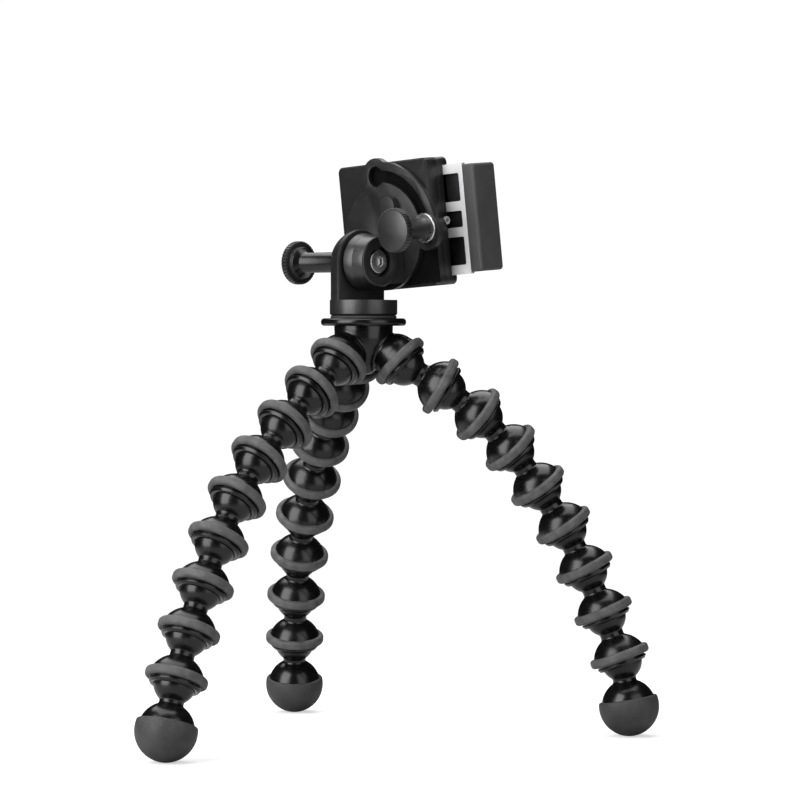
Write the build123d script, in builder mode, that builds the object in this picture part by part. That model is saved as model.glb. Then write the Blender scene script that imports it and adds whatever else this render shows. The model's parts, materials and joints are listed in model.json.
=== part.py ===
from build123d import *
import math
import os

# Flexible leg tripod with a tilting head and a sprung clamp. Millimetres, +Z up.
# The feet stand on Z = 0 and the origin is the middle of the floor that the feet cover.

# Clearances and the overrun of every cut
running_gap = 0.08
seat_gap = 0.05
part_gap = 0.3
overrun = 2.0

# Leg links: a ball on a neck above, a socket for the next ball below
ball_radius = 8.5
link_pitch = 19.55
neck_radius = 4.85
neck_fillet = 0.8
dome_radius = 11.3
lip_radius = 10.4
lip_depth = 1.9
lip_chamfer = 0.9
lip_height = 1.6
groove_radius = 9.9
links_per_leg = 8

# Rubber grip ring round each socket, a little above the ball's centre
ring_radius = 12.5
ring_width = 3.8
ring_rise = 2.2
ring_seat_radius = 10.4
ring_edge_radius = 1.3

# Feet: a dome on the last neck, over a rubber ball
pad_radius = 12.4
pad_rim_rise = 3.1
pad_rim_radius = 1.0
foot_reach = 18.8
foot_dome_radius = 11.2
foot_core_radius = 8.0
foot_core_depth = 4.0
foot_core_round = 1.5

# How each leg is bent, link by link from the hub: dip below level and turn from the socket's heading
leg_names = ("left", "right", "rear")
left_heading = 273.5
leg_spacing = 360 / len(leg_names)
left_dips = (37, 42, 44.5, 50, 57, 61.5, 63.5, 66, 71.6)
left_turns = (-3, -4, -3, 0, 2, 5, 6, 8, 9)
right_dips = (30, 37, 46, 54, 57, 64, 67, 70, 80)
right_turns = (14, 25, 28, 26, 21, 15, 9, 3, -3)
rear_dips = (30, 38, 45, 51, 57, 63, 69, 75, 78.6)
rear_turns = (0, -1, -1, -1, -1, -2, -6, -11, -16)
socket_dip = 45.0
settle_limit = 20.0
settle_steps = 50

# Hub: three sockets round a core, with a round top
socket_circle = 16.7
hub_top_rise = 15.9
hub_top_radius = 11.2
hub_top_thickness = 3.7
hub_waist_radius = 9.0
hub_belly_radius = 10.5
hub_belly_rise = 5.0
hub_tip_drop = 3.7
hub_tip_radius = 2.4
hub_edge = 0.6

# Plate on the hub, the pad on it and the stud through both
plate_radius = 17.4
plate_thickness = 3.1
plate_bullnose = 1.4
head_pad_radius = 13.5
head_pad_thickness = 1.0
stud_radius = 3.175
stud_head_height = 2.6
stud_reach = 5.2

# Head base: a round foot with one upright ear
base_radius = 13.8
ear_radius = 13.4
ear_edge = 0.5
base_height = 6.5
base_edge = 0.8
head_turn = 0.0
tilt_axis_rise = 22.0
ear_inner_offset = 1.0
ear_spot_radius = 5.6
ear_spot_depth = 1.3

# Tilt joint: bolt, friction washer, barrel
bolt_radius = 2.5
bolt_head_radius = 4.8
bolt_head_height = 3.0
bolt_head_sink = 1.0
bolt_recess_radius = 6.2
bolt_hex_radius = 2.3
bolt_hex_depth = 1.6
tilt_washer_radius = 9.0
tilt_washer_thickness = 0.8
barrel_radius = 11.5
barrel_end_radius = 10.3
barrel_length = 10.0
barrel_edge = 1.0

# Arm plate with its quarter slot, pivot above the tilt axis
head_lean = 4.0
arm_plate_offset = 13.9
arm_plate_thickness = 2.4
pivot_rise = 9.0
pivot_shift = -2.4
arm_disc_radius = 21.6
slot_circle = 25.3
slot_width = 5.0
slot_hole_radius = 4.25
slot_start = 5.0
slot_sweep = 90.0
lobe_radius = 7.6
band_margin = 3.5
rib_width = 7.8
rib_shift = 6.9
rib_depth = 3.4
web_height = 19.0
web_left = 0.6

# Pivot and lock between arm and clamp
clamp_roll = 3.4
body_rise = 4.7
pivot_radius = 3.0
pivot_head_radius = 5.0
pivot_head_height = 1.6
pivot_washer_radius = 6.0
pivot_washer_thickness = 0.6
lock_stud_radius = 2.2
lock_flange_radius = 3.4
lock_flange_height = 1.4
lock_washer_radius = 6.2
lock_washer_thickness = 1.2

# Knobs: a knurled disc, a collar, a cone and a stem
knob_radius = 9.0
knob_disc_height = 4.2
knob_dome_height = 1.4
knob_edge = 0.35
knob_collar_radius = 6.5
knob_collar_height = 1.8
knob_cone_height = 1.5
knob_stem_radius = 4.2
knurl_count = 40
knurl_radius = 0.32
tilt_stem_length = 21.4
lock_stem_length = 11.4

# Clamp body: two shells, split part way
body_width = 51.5
body_height = 52.4
body_depth = 13.2
body_corner = 2.5
body_edge = 0.7
shell_wall = 1.9
split_depth = 6.7
body_gap_to_arm = 0.3
post_gap = 0.1
lug_radius = 4.6
lug_depth = 5.2
screw_radius = 1.0
screw_head_radius = 1.8
screw_head_height = 1.2
post_radius = 2.0
screw_thread_length = 4.6

# Jaws: each a wall with a lip over its end and a rubber pad inside
jaw_height = 44.0
jaw_wall = 2.8
jaw_depth = 13.0
jaw_start = 10.0
jaw_lip_depth = 1.9
jaw_lip_reach = 2.3
jaw_corner = 1.6
jaw_edge = 0.6
pad_thickness = 0.9
pad_groove_width = 0.8
pad_groove_depth = 0.5
pad_groove_count = 9
opening_at_rest = 67.0
fixed_face_reach = 2.25
slide_in = 7.2
slide_out = 24.0
front_pad_thickness = 0.9
front_pad_margin = 7.0
front_pad_groove_count = 5

# Ladder frame that carries the moving jaw, the plate behind it, its rods and springs
frame_margin = 3.6
frame_thickness = 1.2
backing_thickness = 0.7
frame_start = 10.0
frame_bar = 3.9
frame_middle_window = 6.7
frame_rail = 2.3
frame_inner_reach = 12.0
frame_corner = 0.8
root_reach = 2.5
side_gap = 0.25
rod_radius = 0.9
rod_offset = 11.2
spring_radius = 1.9
spring_wall = 0.7
frame_block_depth = 3.0
guide_tube_radius = 1.7
guide_tube_proud = 0.8
washer_edge = 0.3

os.makedirs("parts", exist_ok=True)
written = {}


def keep(name, shape):
    # label a finished piece and write it
    shape.label = name
    export_step(shape, f"parts/{name}.step")
    written[name] = shape


def radial(radius, level):
    # height reached by a sphere of this radius at that distance from its axis
    return math.sqrt(radius**2 - level**2)


def slope(dip, heading):
    # unit vector that dips below level in a heading, both in degrees
    down = math.radians(dip)
    turn = math.radians(heading)
    return Vector(math.cos(down) * math.cos(turn), math.cos(down) * math.sin(turn), -math.sin(down))


def leg_drop(dips, extra):
    # how far the foot's centre lies below the first ball
    falls = [math.sin(math.radians(dip + extra)) for dip in dips]
    return link_pitch * sum(falls[:-1]) + foot_reach * falls[-1]


def settled(dips, drop):
    # the small extra dip of every link that brings the foot down to the floor
    low = -settle_limit
    high = settle_limit
    for step in range(settle_steps):
        middle = (low + high) / 2
        if leg_drop(dips, middle) < drop:
            low = middle
        else:
            high = middle
    return low


def leg_route(heading, dips, turns, drop):
    # ball centres of one leg from the hub outwards, and the direction of each link
    extra = settled(dips, drop)
    start = slope(0, heading) * socket_circle
    points = [Vector(start.X, start.Y, pad_radius + drop)]
    directions = []
    for place, (dip, turn) in enumerate(zip(dips, turns)):
        reach = link_pitch if place < links_per_leg else foot_reach
        direction = slope(dip + extra, heading + turn)
        directions.append(direction)
        points.append(points[-1] + direction * reach)
    return points, directions


drop_to_foot = leg_drop(left_dips, 0)
legs = {
    "left": leg_route(left_heading, left_dips, left_turns, drop_to_foot),
    "right": leg_route(left_heading + leg_spacing, right_dips, right_turns, drop_to_foot),
    "rear": leg_route(left_heading - leg_spacing, rear_dips, rear_turns, drop_to_foot),
}
headings = {"left": left_heading, "right": left_heading + leg_spacing, "rear": left_heading - leg_spacing}

# The hub's axis stands where the feet's box is centred on the origin
feet = [points[-1] for points, directions in legs.values()]
axis_x = -(min(foot.X for foot in feet) + max(foot.X for foot in feet)) / 2
axis_y = -(min(foot.Y for foot in feet) + max(foot.Y for foot in feet)) / 2
hub_axis = Vector(axis_x, axis_y, 0)
for points, directions in legs.values():
    for place, point in enumerate(points):
        points[place] = point + hub_axis

ball_height = pad_radius + drop_to_foot


def link_plane(center, direction):
    # a piece's own frame: its axis runs back up the leg from the socket's centre
    return Plane(origin=center, z_dir=direction * -1)


# One link's shell, about its socket's centre, with its ball one pitch above
socket_radius = ball_radius + running_gap
ring_low = ring_rise - ring_width / 2
ring_high = ring_rise + ring_width / 2
dome_edge = radial(dome_radius, ring_high)
dome_top = radial(dome_radius, neck_radius)
ball_foot = link_pitch - radial(ball_radius, neck_radius)
half = math.sqrt(0.5)
lip_top = lip_height - lip_depth


def socket_rim():
    # line up the outside of a socket from its mouth to the dome, in radius and height
    return (
        (radial(socket_radius, lip_depth), -lip_depth),
        (lip_radius - lip_chamfer, -lip_depth),
        (lip_radius, lip_chamfer - lip_depth),
        (lip_radius, lip_top),
        (groove_radius, lip_top),
        (groove_radius, ring_low),
        (ring_seat_radius, ring_low),
        (ring_seat_radius, ring_high),
        (dome_edge, ring_high),
    )


with BuildPart() as link_shell:
    with BuildSketch(Plane.XZ):
        with BuildLine():
            Line((0, socket_radius), (0, link_pitch + ball_radius))
            ThreePointArc(
                (0, link_pitch + ball_radius), (ball_radius, link_pitch), (neck_radius, ball_foot)
            )
            Line((neck_radius, ball_foot), (neck_radius, dome_top))
            ThreePointArc(
                (neck_radius, dome_top), (dome_radius * half, dome_radius * half), (dome_edge, ring_high)
            )
            Polyline(*socket_rim()[::-1])
            ThreePointArc(
                (radial(socket_radius, lip_depth), -lip_depth),
                (socket_radius * half, socket_radius * half),
                (0, socket_radius),
            )
        make_face()
    revolve(axis=Axis.Z)
    neck_edges = (
        link_shell.edges()
        .filter_by(GeomType.CIRCLE)
        .filter_by(lambda edge: abs(edge.radius - neck_radius) < running_gap)
    )
    fillet(neck_edges, neck_fillet)

with BuildPart() as grip_ring:
    with BuildSketch(Plane.XZ):
        with Locations(((ring_radius + ring_seat_radius + seat_gap) / 2, ring_rise)):
            Rectangle(ring_radius - ring_seat_radius - seat_gap, ring_width)
    revolve(axis=Axis.Z)
    outer_edges = (
        grip_ring.edges()
        .filter_by(GeomType.CIRCLE)
        .filter_by(lambda edge: abs(edge.radius - ring_radius) < running_gap)
    )
    fillet(outer_edges, ring_edge_radius)

for side, (points, directions) in legs.items():
    for place in range(links_per_leg):
        spot = link_plane(points[place + 1], directions[place]).location
        shell = link_shell.part.moved(spot)
        ring = grip_ring.part.moved(spot)
        keep(f"{side}_link_{place + 1}", Compound(children=[shell, ring]))

# One foot, about the rubber ball's centre
foot_ball_foot = foot_reach - radial(ball_radius, neck_radius)
foot_dome_top = radial(foot_dome_radius, neck_radius)
foot_dome_edge = radial(foot_dome_radius, pad_rim_rise)
foot_dome_mid = (foot_dome_top + pad_rim_rise) / 2

with BuildPart() as foot_shell:
    with BuildSketch(Plane.XZ):
        with BuildLine():
            Line((0, -foot_core_depth), (0, foot_reach + ball_radius))
            ThreePointArc(
                (0, foot_reach + ball_radius), (ball_radius, foot_reach), (neck_radius, foot_ball_foot)
            )
            Line((neck_radius, foot_ball_foot), (neck_radius, foot_dome_top))
            ThreePointArc(
                (neck_radius, foot_dome_top),
                (radial(foot_dome_radius, foot_dome_mid), foot_dome_mid),
                (foot_dome_edge, pad_rim_rise),
            )
            Polyline(
                (foot_dome_edge, pad_rim_rise),
                (foot_core_radius, pad_rim_rise),
                (foot_core_radius, -foot_core_depth),
                (0, -foot_core_depth),
            )
        make_face()
    revolve(axis=Axis.Z)
    foot_neck_edges = (
        foot_shell.edges()
        .filter_by(GeomType.CIRCLE)
        .filter_by(lambda edge: abs(edge.radius - neck_radius) < running_gap)
    )
    fillet(foot_neck_edges, neck_fillet)
    core_edge = foot_shell.edges().filter_by(GeomType.CIRCLE).sort_by(Axis.Z)[0]
    fillet(core_edge, foot_core_round)

pocket_radius = foot_core_radius + seat_gap
pad_rim = radial(pad_radius, pad_rim_rise)

with BuildPart() as foot_pad:
    with BuildSketch(Plane.XZ):
        with BuildLine():
            Line((0, -pad_radius), (0, -foot_core_depth - seat_gap))
            Polyline(
                (0, -foot_core_depth - seat_gap),
                (pocket_radius, -foot_core_depth - seat_gap),
                (pocket_radius, pad_rim_rise),
                (pad_rim, pad_rim_rise),
            )
            ThreePointArc((pad_rim, pad_rim_rise), (pad_radius * half, -pad_radius * half), (0, -pad_radius))
        make_face()
    revolve(axis=Axis.Z)
    rim_edge = (
        foot_pad.edges()
        .filter_by(GeomType.CIRCLE)
        .filter_by(lambda edge: abs(edge.radius - pad_rim) < running_gap)
    )
    fillet(rim_edge, pad_rim_radius)

for side, (points, directions) in legs.items():
    spot = link_plane(points[-1], directions[-1]).location
    keep(f"{side}_foot_shell", foot_shell.part.moved(spot))
    keep(f"{side}_foot_pad", foot_pad.part.moved(spot))

# Hub: a waisted core with three sockets that point out and down
hub_top = ball_height + hub_top_rise
socket_planes = {
    side: link_plane(points[0], slope(socket_dip, headings[side]))
    for side, (points, directions) in legs.items()
}

with BuildPart() as socket_bell:
    # the outside of one socket, with its own rim and a closed dome
    with BuildSketch(Plane.XZ):
        with BuildLine():
            Line((0, -lip_depth), (0, dome_radius))
            ThreePointArc((0, dome_radius), (dome_radius * half, dome_radius * half), (dome_edge, ring_high))
            Polyline(*socket_rim()[::-1])
            Line((radial(socket_radius, lip_depth), -lip_depth), (0, -lip_depth))
        make_face()
    revolve(axis=Axis.Z)

with BuildPart() as mouth_clear:
    # the space below a socket's mouth and round its ring, which the core keeps out of
    with BuildSketch(Plane.XY.offset(-lip_depth)):
        Circle(dome_radius)
    extrude(amount=-dome_radius)
    with BuildSketch(Plane.XY.offset(ring_low - seat_gap)):
        Circle(ring_radius + part_gap)
        Circle(groove_radius, mode=Mode.SUBTRACT)
    extrude(amount=ring_width + seat_gap + seat_gap)
    with BuildSketch(Plane.XY.offset(-lip_depth)):
        Circle(ring_radius + part_gap)
        Circle(lip_radius, mode=Mode.SUBTRACT)
    extrude(amount=lip_depth + ring_low)

with BuildPart() as hub_body:
    with BuildSketch(Plane(origin=hub_axis, x_dir=(1, 0, 0), z_dir=(0, -1, 0))):
        with BuildLine():
            Polyline(
                (0, ball_height - hub_tip_drop),
                (0, hub_top),
                (hub_top_radius, hub_top),
                (hub_top_radius, hub_top - hub_top_thickness),
                (hub_waist_radius, hub_top - hub_top_thickness),
                (hub_belly_radius, ball_height + hub_belly_rise),
                (hub_tip_radius, ball_height - hub_tip_drop),
                (0, ball_height - hub_tip_drop),
            )
        make_face()
    revolve(axis=Axis(origin=hub_axis, direction=(0, 0, 1)))
    for plane in socket_planes.values():
        add(mouth_clear.part.moved(plane.location), mode=Mode.SUBTRACT)
        add(socket_bell.part.moved(plane.location))
    for plane in socket_planes.values():
        with Locations(plane.location):
            Sphere(socket_radius, mode=Mode.SUBTRACT)
    with BuildSketch(Plane(origin=hub_axis).offset(hub_top)):
        Circle(stud_radius + seat_gap)
    extrude(amount=-(stud_head_height + stud_reach), mode=Mode.SUBTRACT)
    top_edges = hub_body.edges().filter_by(GeomType.CIRCLE).filter_by(
        lambda edge: abs(edge.radius - hub_top_radius) < running_gap
    )
    chamfer(top_edges, hub_edge)
keep("hub_body", hub_body.part)

hub_rings = Compound(children=[grip_ring.part.moved(plane.location) for plane in socket_planes.values()])
keep("hub_rings", hub_rings)

# Round plate on the hub, pad on the plate, stud through both into the head
plate_top = hub_top + plate_thickness
pad_top = plate_top + head_pad_thickness

with BuildPart() as hub_plate:
    with BuildSketch(Plane(origin=hub_axis).offset(hub_top)):
        Circle(plate_radius)
        Circle(stud_radius + seat_gap, mode=Mode.SUBTRACT)
    extrude(amount=plate_thickness)
    plate_edges = hub_plate.edges().filter_by(GeomType.CIRCLE).filter_by(
        lambda edge: abs(edge.radius - plate_radius) < running_gap
    )
    fillet(plate_edges, plate_bullnose)
keep("hub_plate", hub_plate.part)

with BuildPart() as head_pad:
    with BuildSketch(Plane(origin=hub_axis).offset(plate_top)):
        Circle(head_pad_radius)
        Circle(stud_radius + seat_gap, mode=Mode.SUBTRACT)
    extrude(amount=head_pad_thickness)
keep("head_pad", head_pad.part)

with BuildPart() as hub_stud:
    with BuildSketch(Plane(origin=hub_axis).offset(hub_top - stud_head_height - stud_reach)):
        Circle(stud_radius)
    extrude(amount=stud_head_height + stud_reach + plate_thickness + head_pad_thickness + stud_reach)
    chamfer(hub_stud.edges().filter_by(GeomType.CIRCLE), washer_edge)
keep("hub_stud", hub_stud.part)

# Head frame: X along the tilt axis towards the barrel, Y away from the viewer, Z up
head_plane = Plane(
    origin=hub_axis + Vector(0, 0, pad_top), x_dir=slope(0, head_turn), z_dir=(0, 0, 1)
)
tilt_height = tilt_axis_rise
ear_face = -ear_inner_offset


def on_head(x, y, z):
    # a point of the head frame, in the model's frame
    return head_plane.from_local_coords(Vector(x, y, z))


tilt_point = on_head(0, 0, tilt_height)
tilt_cross = Plane(origin=tilt_point, x_dir=head_plane.y_dir, z_dir=head_plane.x_dir)

with BuildPart() as head_base:
    # the ear is a post with a ball's top, halved by a flat face towards the barrel
    with BuildSketch(head_plane):
        Circle(ear_radius)
    extrude(amount=tilt_height)
    with Locations(tilt_point):
        Sphere(ear_radius)
    with BuildSketch(tilt_cross.offset(ear_face)):
        Rectangle(4 * ear_radius, 4 * tilt_height)
    extrude(amount=2 * ear_radius, mode=Mode.SUBTRACT)
    with BuildSketch(head_plane):
        Rectangle(4 * ear_radius, 4 * ear_radius)
    extrude(amount=-ear_radius, mode=Mode.SUBTRACT)
    flat = head_base.faces().sort_by(Axis(tilt_point, head_plane.x_dir))[-1]
    chamfer(flat.edges().filter_by(lambda edge: edge.center().Z > pad_top + running_gap), ear_edge)
    with BuildSketch(head_plane):
        Circle(base_radius)
    extrude(amount=base_height)
    with BuildSketch(tilt_cross.offset(-ear_radius)):
        Circle(ear_spot_radius)
    extrude(amount=ear_spot_depth, mode=Mode.SUBTRACT)
    with BuildSketch(tilt_cross.offset(-ear_radius)):
        Circle(bolt_radius + running_gap)
    extrude(amount=ear_radius, mode=Mode.SUBTRACT)
    with BuildSketch(head_plane):
        Circle(stud_radius + seat_gap)
    extrude(amount=stud_reach + seat_gap, mode=Mode.SUBTRACT)
    foot_edges = head_base.edges().filter_by(GeomType.CIRCLE).group_by(Axis.Z)[0]
    rim = foot_edges.filter_by(lambda edge: abs(edge.radius - base_radius) < running_gap)
    chamfer(rim, base_edge)
keep("head_base", head_base.part)

# Arm frame: the head frame leaned back about the tilt axis
lean = math.radians(head_lean)
arm_up = head_plane.z_dir * math.cos(lean) - head_plane.y_dir * math.sin(lean)
arm_plane = Plane(origin=tilt_point, x_dir=head_plane.x_dir, z_dir=arm_up)
barrel_start = tilt_washer_thickness + running_gap + running_gap - ear_inner_offset
barrel_end = barrel_start + barrel_length
arm_back = arm_plate_offset + arm_plate_thickness


def polar(radius, angle):
    # a point of a drawing at this radius and angle
    return (radius * math.cos(math.radians(angle)), radius * math.sin(math.radians(angle)))


def arm_sheet(offset):
    # a drawing plane square to the arm's plate: X right, Y up, seen from the front
    return Plane(
        origin=arm_plane.from_local_coords(Vector(pivot_shift, offset, pivot_rise)),
        x_dir=arm_plane.x_dir,
        z_dir=arm_plane.y_dir * -1,
    )


barrel_plane = Plane(origin=tilt_point, x_dir=arm_plane.z_dir, z_dir=head_plane.x_dir)
slot_stop = slot_start + slot_sweep
slot_ends = (polar(slot_circle, slot_start), polar(slot_circle, slot_stop))
rib_half = rib_width / 2
rib_round = radial(slot_circle - lock_washer_radius - part_gap - rib_half, rib_shift)
slot_inner = slot_circle - slot_width / 2
slot_outer = slot_circle + slot_width / 2
band_outer = slot_outer + band_margin

with BuildPart() as tilt_arm:
    # plate: a disc round the pivot and a quarter band that carries the slot
    with BuildSketch(arm_sheet(arm_back)):
        Circle(arm_disc_radius)
        with Locations(*slot_ends):
            Circle(lobe_radius)
        with BuildLine():
            CenterArc((0, 0), band_outer, slot_start, slot_sweep)
            Polyline(polar(band_outer, slot_stop), (0, 0), polar(band_outer, slot_start))
        make_face()
    extrude(amount=arm_plate_thickness)
    # barrel, tapered towards its open end
    with BuildSketch(barrel_plane.offset(barrel_start)):
        Circle(barrel_radius)
    with BuildSketch(barrel_plane.offset(barrel_end)):
        Circle(barrel_end_radius)
    loft()
    end_edge = tilt_arm.edges().filter_by(GeomType.CIRCLE).filter_by(
        lambda edge: abs(edge.radius - barrel_end_radius) < running_gap
    )
    fillet(end_edge, barrel_edge)
    # web from the barrel back to the plate
    web_low = arm_plane.from_local_coords(Vector((web_left + barrel_end - barrel_edge) / 2, 0, 0))
    with BuildSketch(Plane(origin=web_low, x_dir=arm_plane.x_dir, z_dir=arm_plane.y_dir)):
        Rectangle(barrel_end - barrel_edge - web_left, web_height)
    extrude(amount=arm_plate_offset + overrun / 2)
    # upright rib on the plate's front
    with BuildSketch(arm_sheet(arm_plate_offset)):
        with BuildLine():
            Polyline(
                (rib_shift - rib_half, rib_round),
                (rib_shift - rib_half, -pivot_rise),
                (rib_shift + rib_half, -pivot_rise),
                (rib_shift + rib_half, rib_round),
            )
            ThreePointArc(
                (rib_shift + rib_half, rib_round),
                (rib_shift, rib_round + rib_half),
                (rib_shift - rib_half, rib_round),
            )
        make_face()
    extrude(amount=rib_depth)
    # the ear's side stays clear of the rib and the web
    with BuildSketch(tilt_cross.offset(ear_face - overrun)):
        Circle(ear_radius + part_gap)
    extrude(amount=barrel_start - ear_face + overrun, mode=Mode.SUBTRACT)
    with BuildSketch(tilt_cross.offset(-arm_disc_radius)):
        Circle(ear_radius + part_gap)
    extrude(amount=arm_disc_radius + ear_face, mode=Mode.SUBTRACT)
    # quarter slot with a round hole at each end
    with BuildSketch(arm_sheet(arm_back)):
        with BuildLine():
            CenterArc((0, 0), slot_inner, slot_start, slot_sweep)
            Line(polar(slot_inner, slot_stop), polar(slot_outer, slot_stop))
            CenterArc((0, 0), slot_outer, slot_start, slot_sweep)
            Line(polar(slot_inner, slot_start), polar(slot_outer, slot_start))
        make_face()
        with Locations(*slot_ends):
            Circle(slot_hole_radius)
    extrude(amount=arm_plate_thickness + overrun, mode=Mode.SUBTRACT)
    # bolt bore with a sunk seat for its head
    with BuildSketch(barrel_plane.offset(barrel_end)):
        Circle(bolt_recess_radius)
    extrude(amount=-(bolt_head_sink + bolt_head_height), mode=Mode.SUBTRACT)
    with BuildSketch(barrel_plane.offset(barrel_end)):
        Circle(bolt_radius + running_gap)
    extrude(amount=-barrel_length - overrun, mode=Mode.SUBTRACT)
    # threaded bore for the pivot screw, from behind
    with BuildSketch(arm_sheet(arm_back)):
        Circle(pivot_radius + seat_gap)
    extrude(amount=arm_plate_thickness, mode=Mode.SUBTRACT)
keep("tilt_arm", tilt_arm.part)

head_seat = barrel_end - bolt_head_sink
shank_end = head_seat - bolt_head_height
knob_seat = -ear_radius + ear_spot_depth
bolt_tip = knob_seat - running_gap - tilt_stem_length

with BuildPart() as tilt_bolt:
    with BuildSketch(barrel_plane.offset(shank_end)):
        Circle(bolt_head_radius)
    extrude(amount=bolt_head_height)
    head_rims = tilt_bolt.edges().filter_by(GeomType.CIRCLE)
    chamfer(head_rims.sort_by(Axis(tilt_point, head_plane.x_dir))[-1], washer_edge)
    with BuildSketch(barrel_plane.offset(head_seat)):
        RegularPolygon(bolt_hex_radius, 6)
    extrude(amount=-bolt_hex_depth, mode=Mode.SUBTRACT)
    with BuildSketch(barrel_plane.offset(shank_end)):
        Circle(bolt_radius)
    extrude(amount=bolt_tip - shank_end)
keep("tilt_bolt", tilt_bolt.part)

with BuildPart() as tilt_washer:
    with BuildSketch(barrel_plane.offset(ear_face + running_gap)):
        Circle(tilt_washer_radius)
        Circle(bolt_radius + running_gap, mode=Mode.SUBTRACT)
    extrude(amount=tilt_washer_thickness)
keep("tilt_washer", tilt_washer.part)


def knob(stem_length, bore_radius, bore_depth):
    # a knob about Z = 0 at its stem's end, with its domed face up
    cone_start = stem_length
    collar_start = cone_start + knob_cone_height
    disc_start = collar_start + knob_collar_height
    face = disc_start + knob_disc_height
    dome_start = face - knob_dome_height
    dome_rim = knob_radius - knob_edge
    dome_rise = knob_dome_height - knob_edge / 2
    dome_sphere = (dome_rim**2 + dome_rise**2) / (dome_rise + dome_rise)
    dome_middle = face - dome_sphere + radial(dome_sphere, dome_rim / 2)
    with BuildPart() as body:
        with BuildSketch(Plane.XZ):
            with BuildLine():
                Polyline(
                    (0, face),
                    (0, 0),
                    (knob_stem_radius, 0),
                    (knob_stem_radius, cone_start),
                    (knob_collar_radius, collar_start),
                    (knob_collar_radius, disc_start),
                    (dome_rim, disc_start),
                    (knob_radius, disc_start + knob_edge),
                    (knob_radius, dome_start),
                    (dome_rim, face - dome_rise),
                )
                ThreePointArc((dome_rim, face - dome_rise), (dome_rim / 2, dome_middle), (0, face))
            make_face()
        revolve(axis=Axis.Z)
        with BuildSketch(Plane.XY.offset(disc_start)):
            with PolarLocations(knob_radius, knurl_count):
                Circle(knurl_radius)
        extrude(amount=knob_disc_height, mode=Mode.SUBTRACT)
        with BuildSketch(Plane.XY):
            Circle(bore_radius + running_gap)
        extrude(amount=bore_depth, mode=Mode.SUBTRACT)
    return body.part


# Tilt knob on the bolt's far end
tilt_knob_plane = Plane(
    origin=on_head(knob_seat - running_gap, 0, tilt_height),
    x_dir=head_plane.z_dir,
    z_dir=head_plane.x_dir * -1,
)
tilt_knob = knob(tilt_stem_length, bolt_radius, tilt_stem_length + running_gap)
keep("tilt_knob", tilt_knob.moved(tilt_knob_plane.location))

# Clamp frame: the arm frame rolled about the pivot, centred on the body, Y away from the viewer
roll = math.radians(clamp_roll)
clamp_x = arm_plane.x_dir * math.cos(roll) + arm_plane.z_dir * math.sin(roll)
clamp_z = arm_plane.z_dir * math.cos(roll) - arm_plane.x_dir * math.sin(roll)
pivot_point = arm_plane.from_local_coords(Vector(pivot_shift, arm_back + body_gap_to_arm, pivot_rise))
clamp_origin = pivot_point + clamp_z * body_rise
clamp_plane = Plane(origin=clamp_origin, x_dir=clamp_x, z_dir=clamp_z)


def clamp_sheet(depth):
    # a drawing plane square to the clamp's depth: X right, Y up, extrude goes away from the arm
    return Plane(
        origin=clamp_plane.from_local_coords(Vector(0, depth, 0)),
        x_dir=clamp_plane.x_dir * -1,
        z_dir=clamp_plane.y_dir,
    )


def clamp_side(x):
    # a drawing plane square to the clamp's width: X is depth, Y is up, extrude goes right
    return Plane(
        origin=clamp_plane.from_local_coords(Vector(x, 0, 0)),
        x_dir=clamp_plane.y_dir,
        z_dir=clamp_plane.x_dir,
    )


half_width = body_width / 2
frame_height = body_height - 2 * frame_margin
frame_left = -frame_inner_reach
post_reach = post_radius + post_gap
post_level = frame_height / 2 - frame_bar - post_reach
post_right = frame_left + frame_rail + slide_out + post_reach
post_left = frame_left - slide_in - post_reach
post_spots = [(-x, level) for x in (post_left, post_right) for level in (-post_level, post_level)]
pivot_spot = (0, -body_rise)
stud_right, stud_up = polar(slot_circle, slot_start)
stud_spot = (-stud_right, stud_up - body_rise)
backing_start = frame_start + frame_thickness
ladder_end = backing_start + backing_thickness
ladder_middle = (frame_start + ladder_end) / 2
rod_depth = backing_start - guide_tube_radius - part_gap
inner_half_width = half_width - shell_wall
front_wall = body_depth - ladder_end - side_gap

# Back shell: a tray that opens forwards, with screw posts, the pivot's bore and a lug for the lock stud
with BuildPart() as clamp_back_shell:
    with BuildSketch(clamp_sheet(0)):
        RectangleRounded(body_width, body_height, body_corner)
    extrude(amount=split_depth)
    back_rim = clamp_back_shell.faces().sort_by(Axis(clamp_origin, clamp_plane.y_dir))[0].edges()
    chamfer(back_rim, body_edge)
    with BuildSketch(clamp_sheet(0)):
        with Locations(stud_spot):
            Circle(lug_radius)
    extrude(amount=lug_depth)
    with BuildSketch(clamp_sheet(shell_wall)):
        RectangleRounded(body_width - 2 * shell_wall, body_height - 2 * shell_wall, body_corner - shell_wall)
    extrude(amount=split_depth, mode=Mode.SUBTRACT)
    with BuildSketch(clamp_sheet(shell_wall)):
        with Locations(*post_spots):
            Circle(post_radius)
        with Locations(pivot_spot):
            Circle(pivot_washer_radius + shell_wall)
    extrude(amount=split_depth - shell_wall)
    with BuildSketch(clamp_sheet(0)):
        with Locations(stud_spot):
            Circle(lug_radius)
    extrude(amount=lug_depth)
    with BuildSketch(clamp_sheet(0)):
        with Locations(pivot_spot):
            Circle(pivot_radius + running_gap)
        with Locations(stud_spot):
            Circle(lock_stud_radius + seat_gap)
    extrude(amount=split_depth, mode=Mode.SUBTRACT)
    with BuildSketch(clamp_sheet(split_depth)):
        with Locations(*post_spots):
            Circle(screw_radius)
    extrude(amount=-screw_thread_length, mode=Mode.SUBTRACT)
    with BuildSketch(clamp_sheet(shell_wall)):
        with Locations(pivot_spot):
            Circle(pivot_washer_radius + running_gap)
    extrude(amount=split_depth, mode=Mode.SUBTRACT)
    with BuildSketch(clamp_sheet(lug_depth)):
        with Locations(stud_spot):
            Circle(lock_flange_radius + seat_gap)
    extrude(amount=-lock_flange_height, mode=Mode.SUBTRACT)
keep("clamp_back_shell", clamp_back_shell.part)

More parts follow.
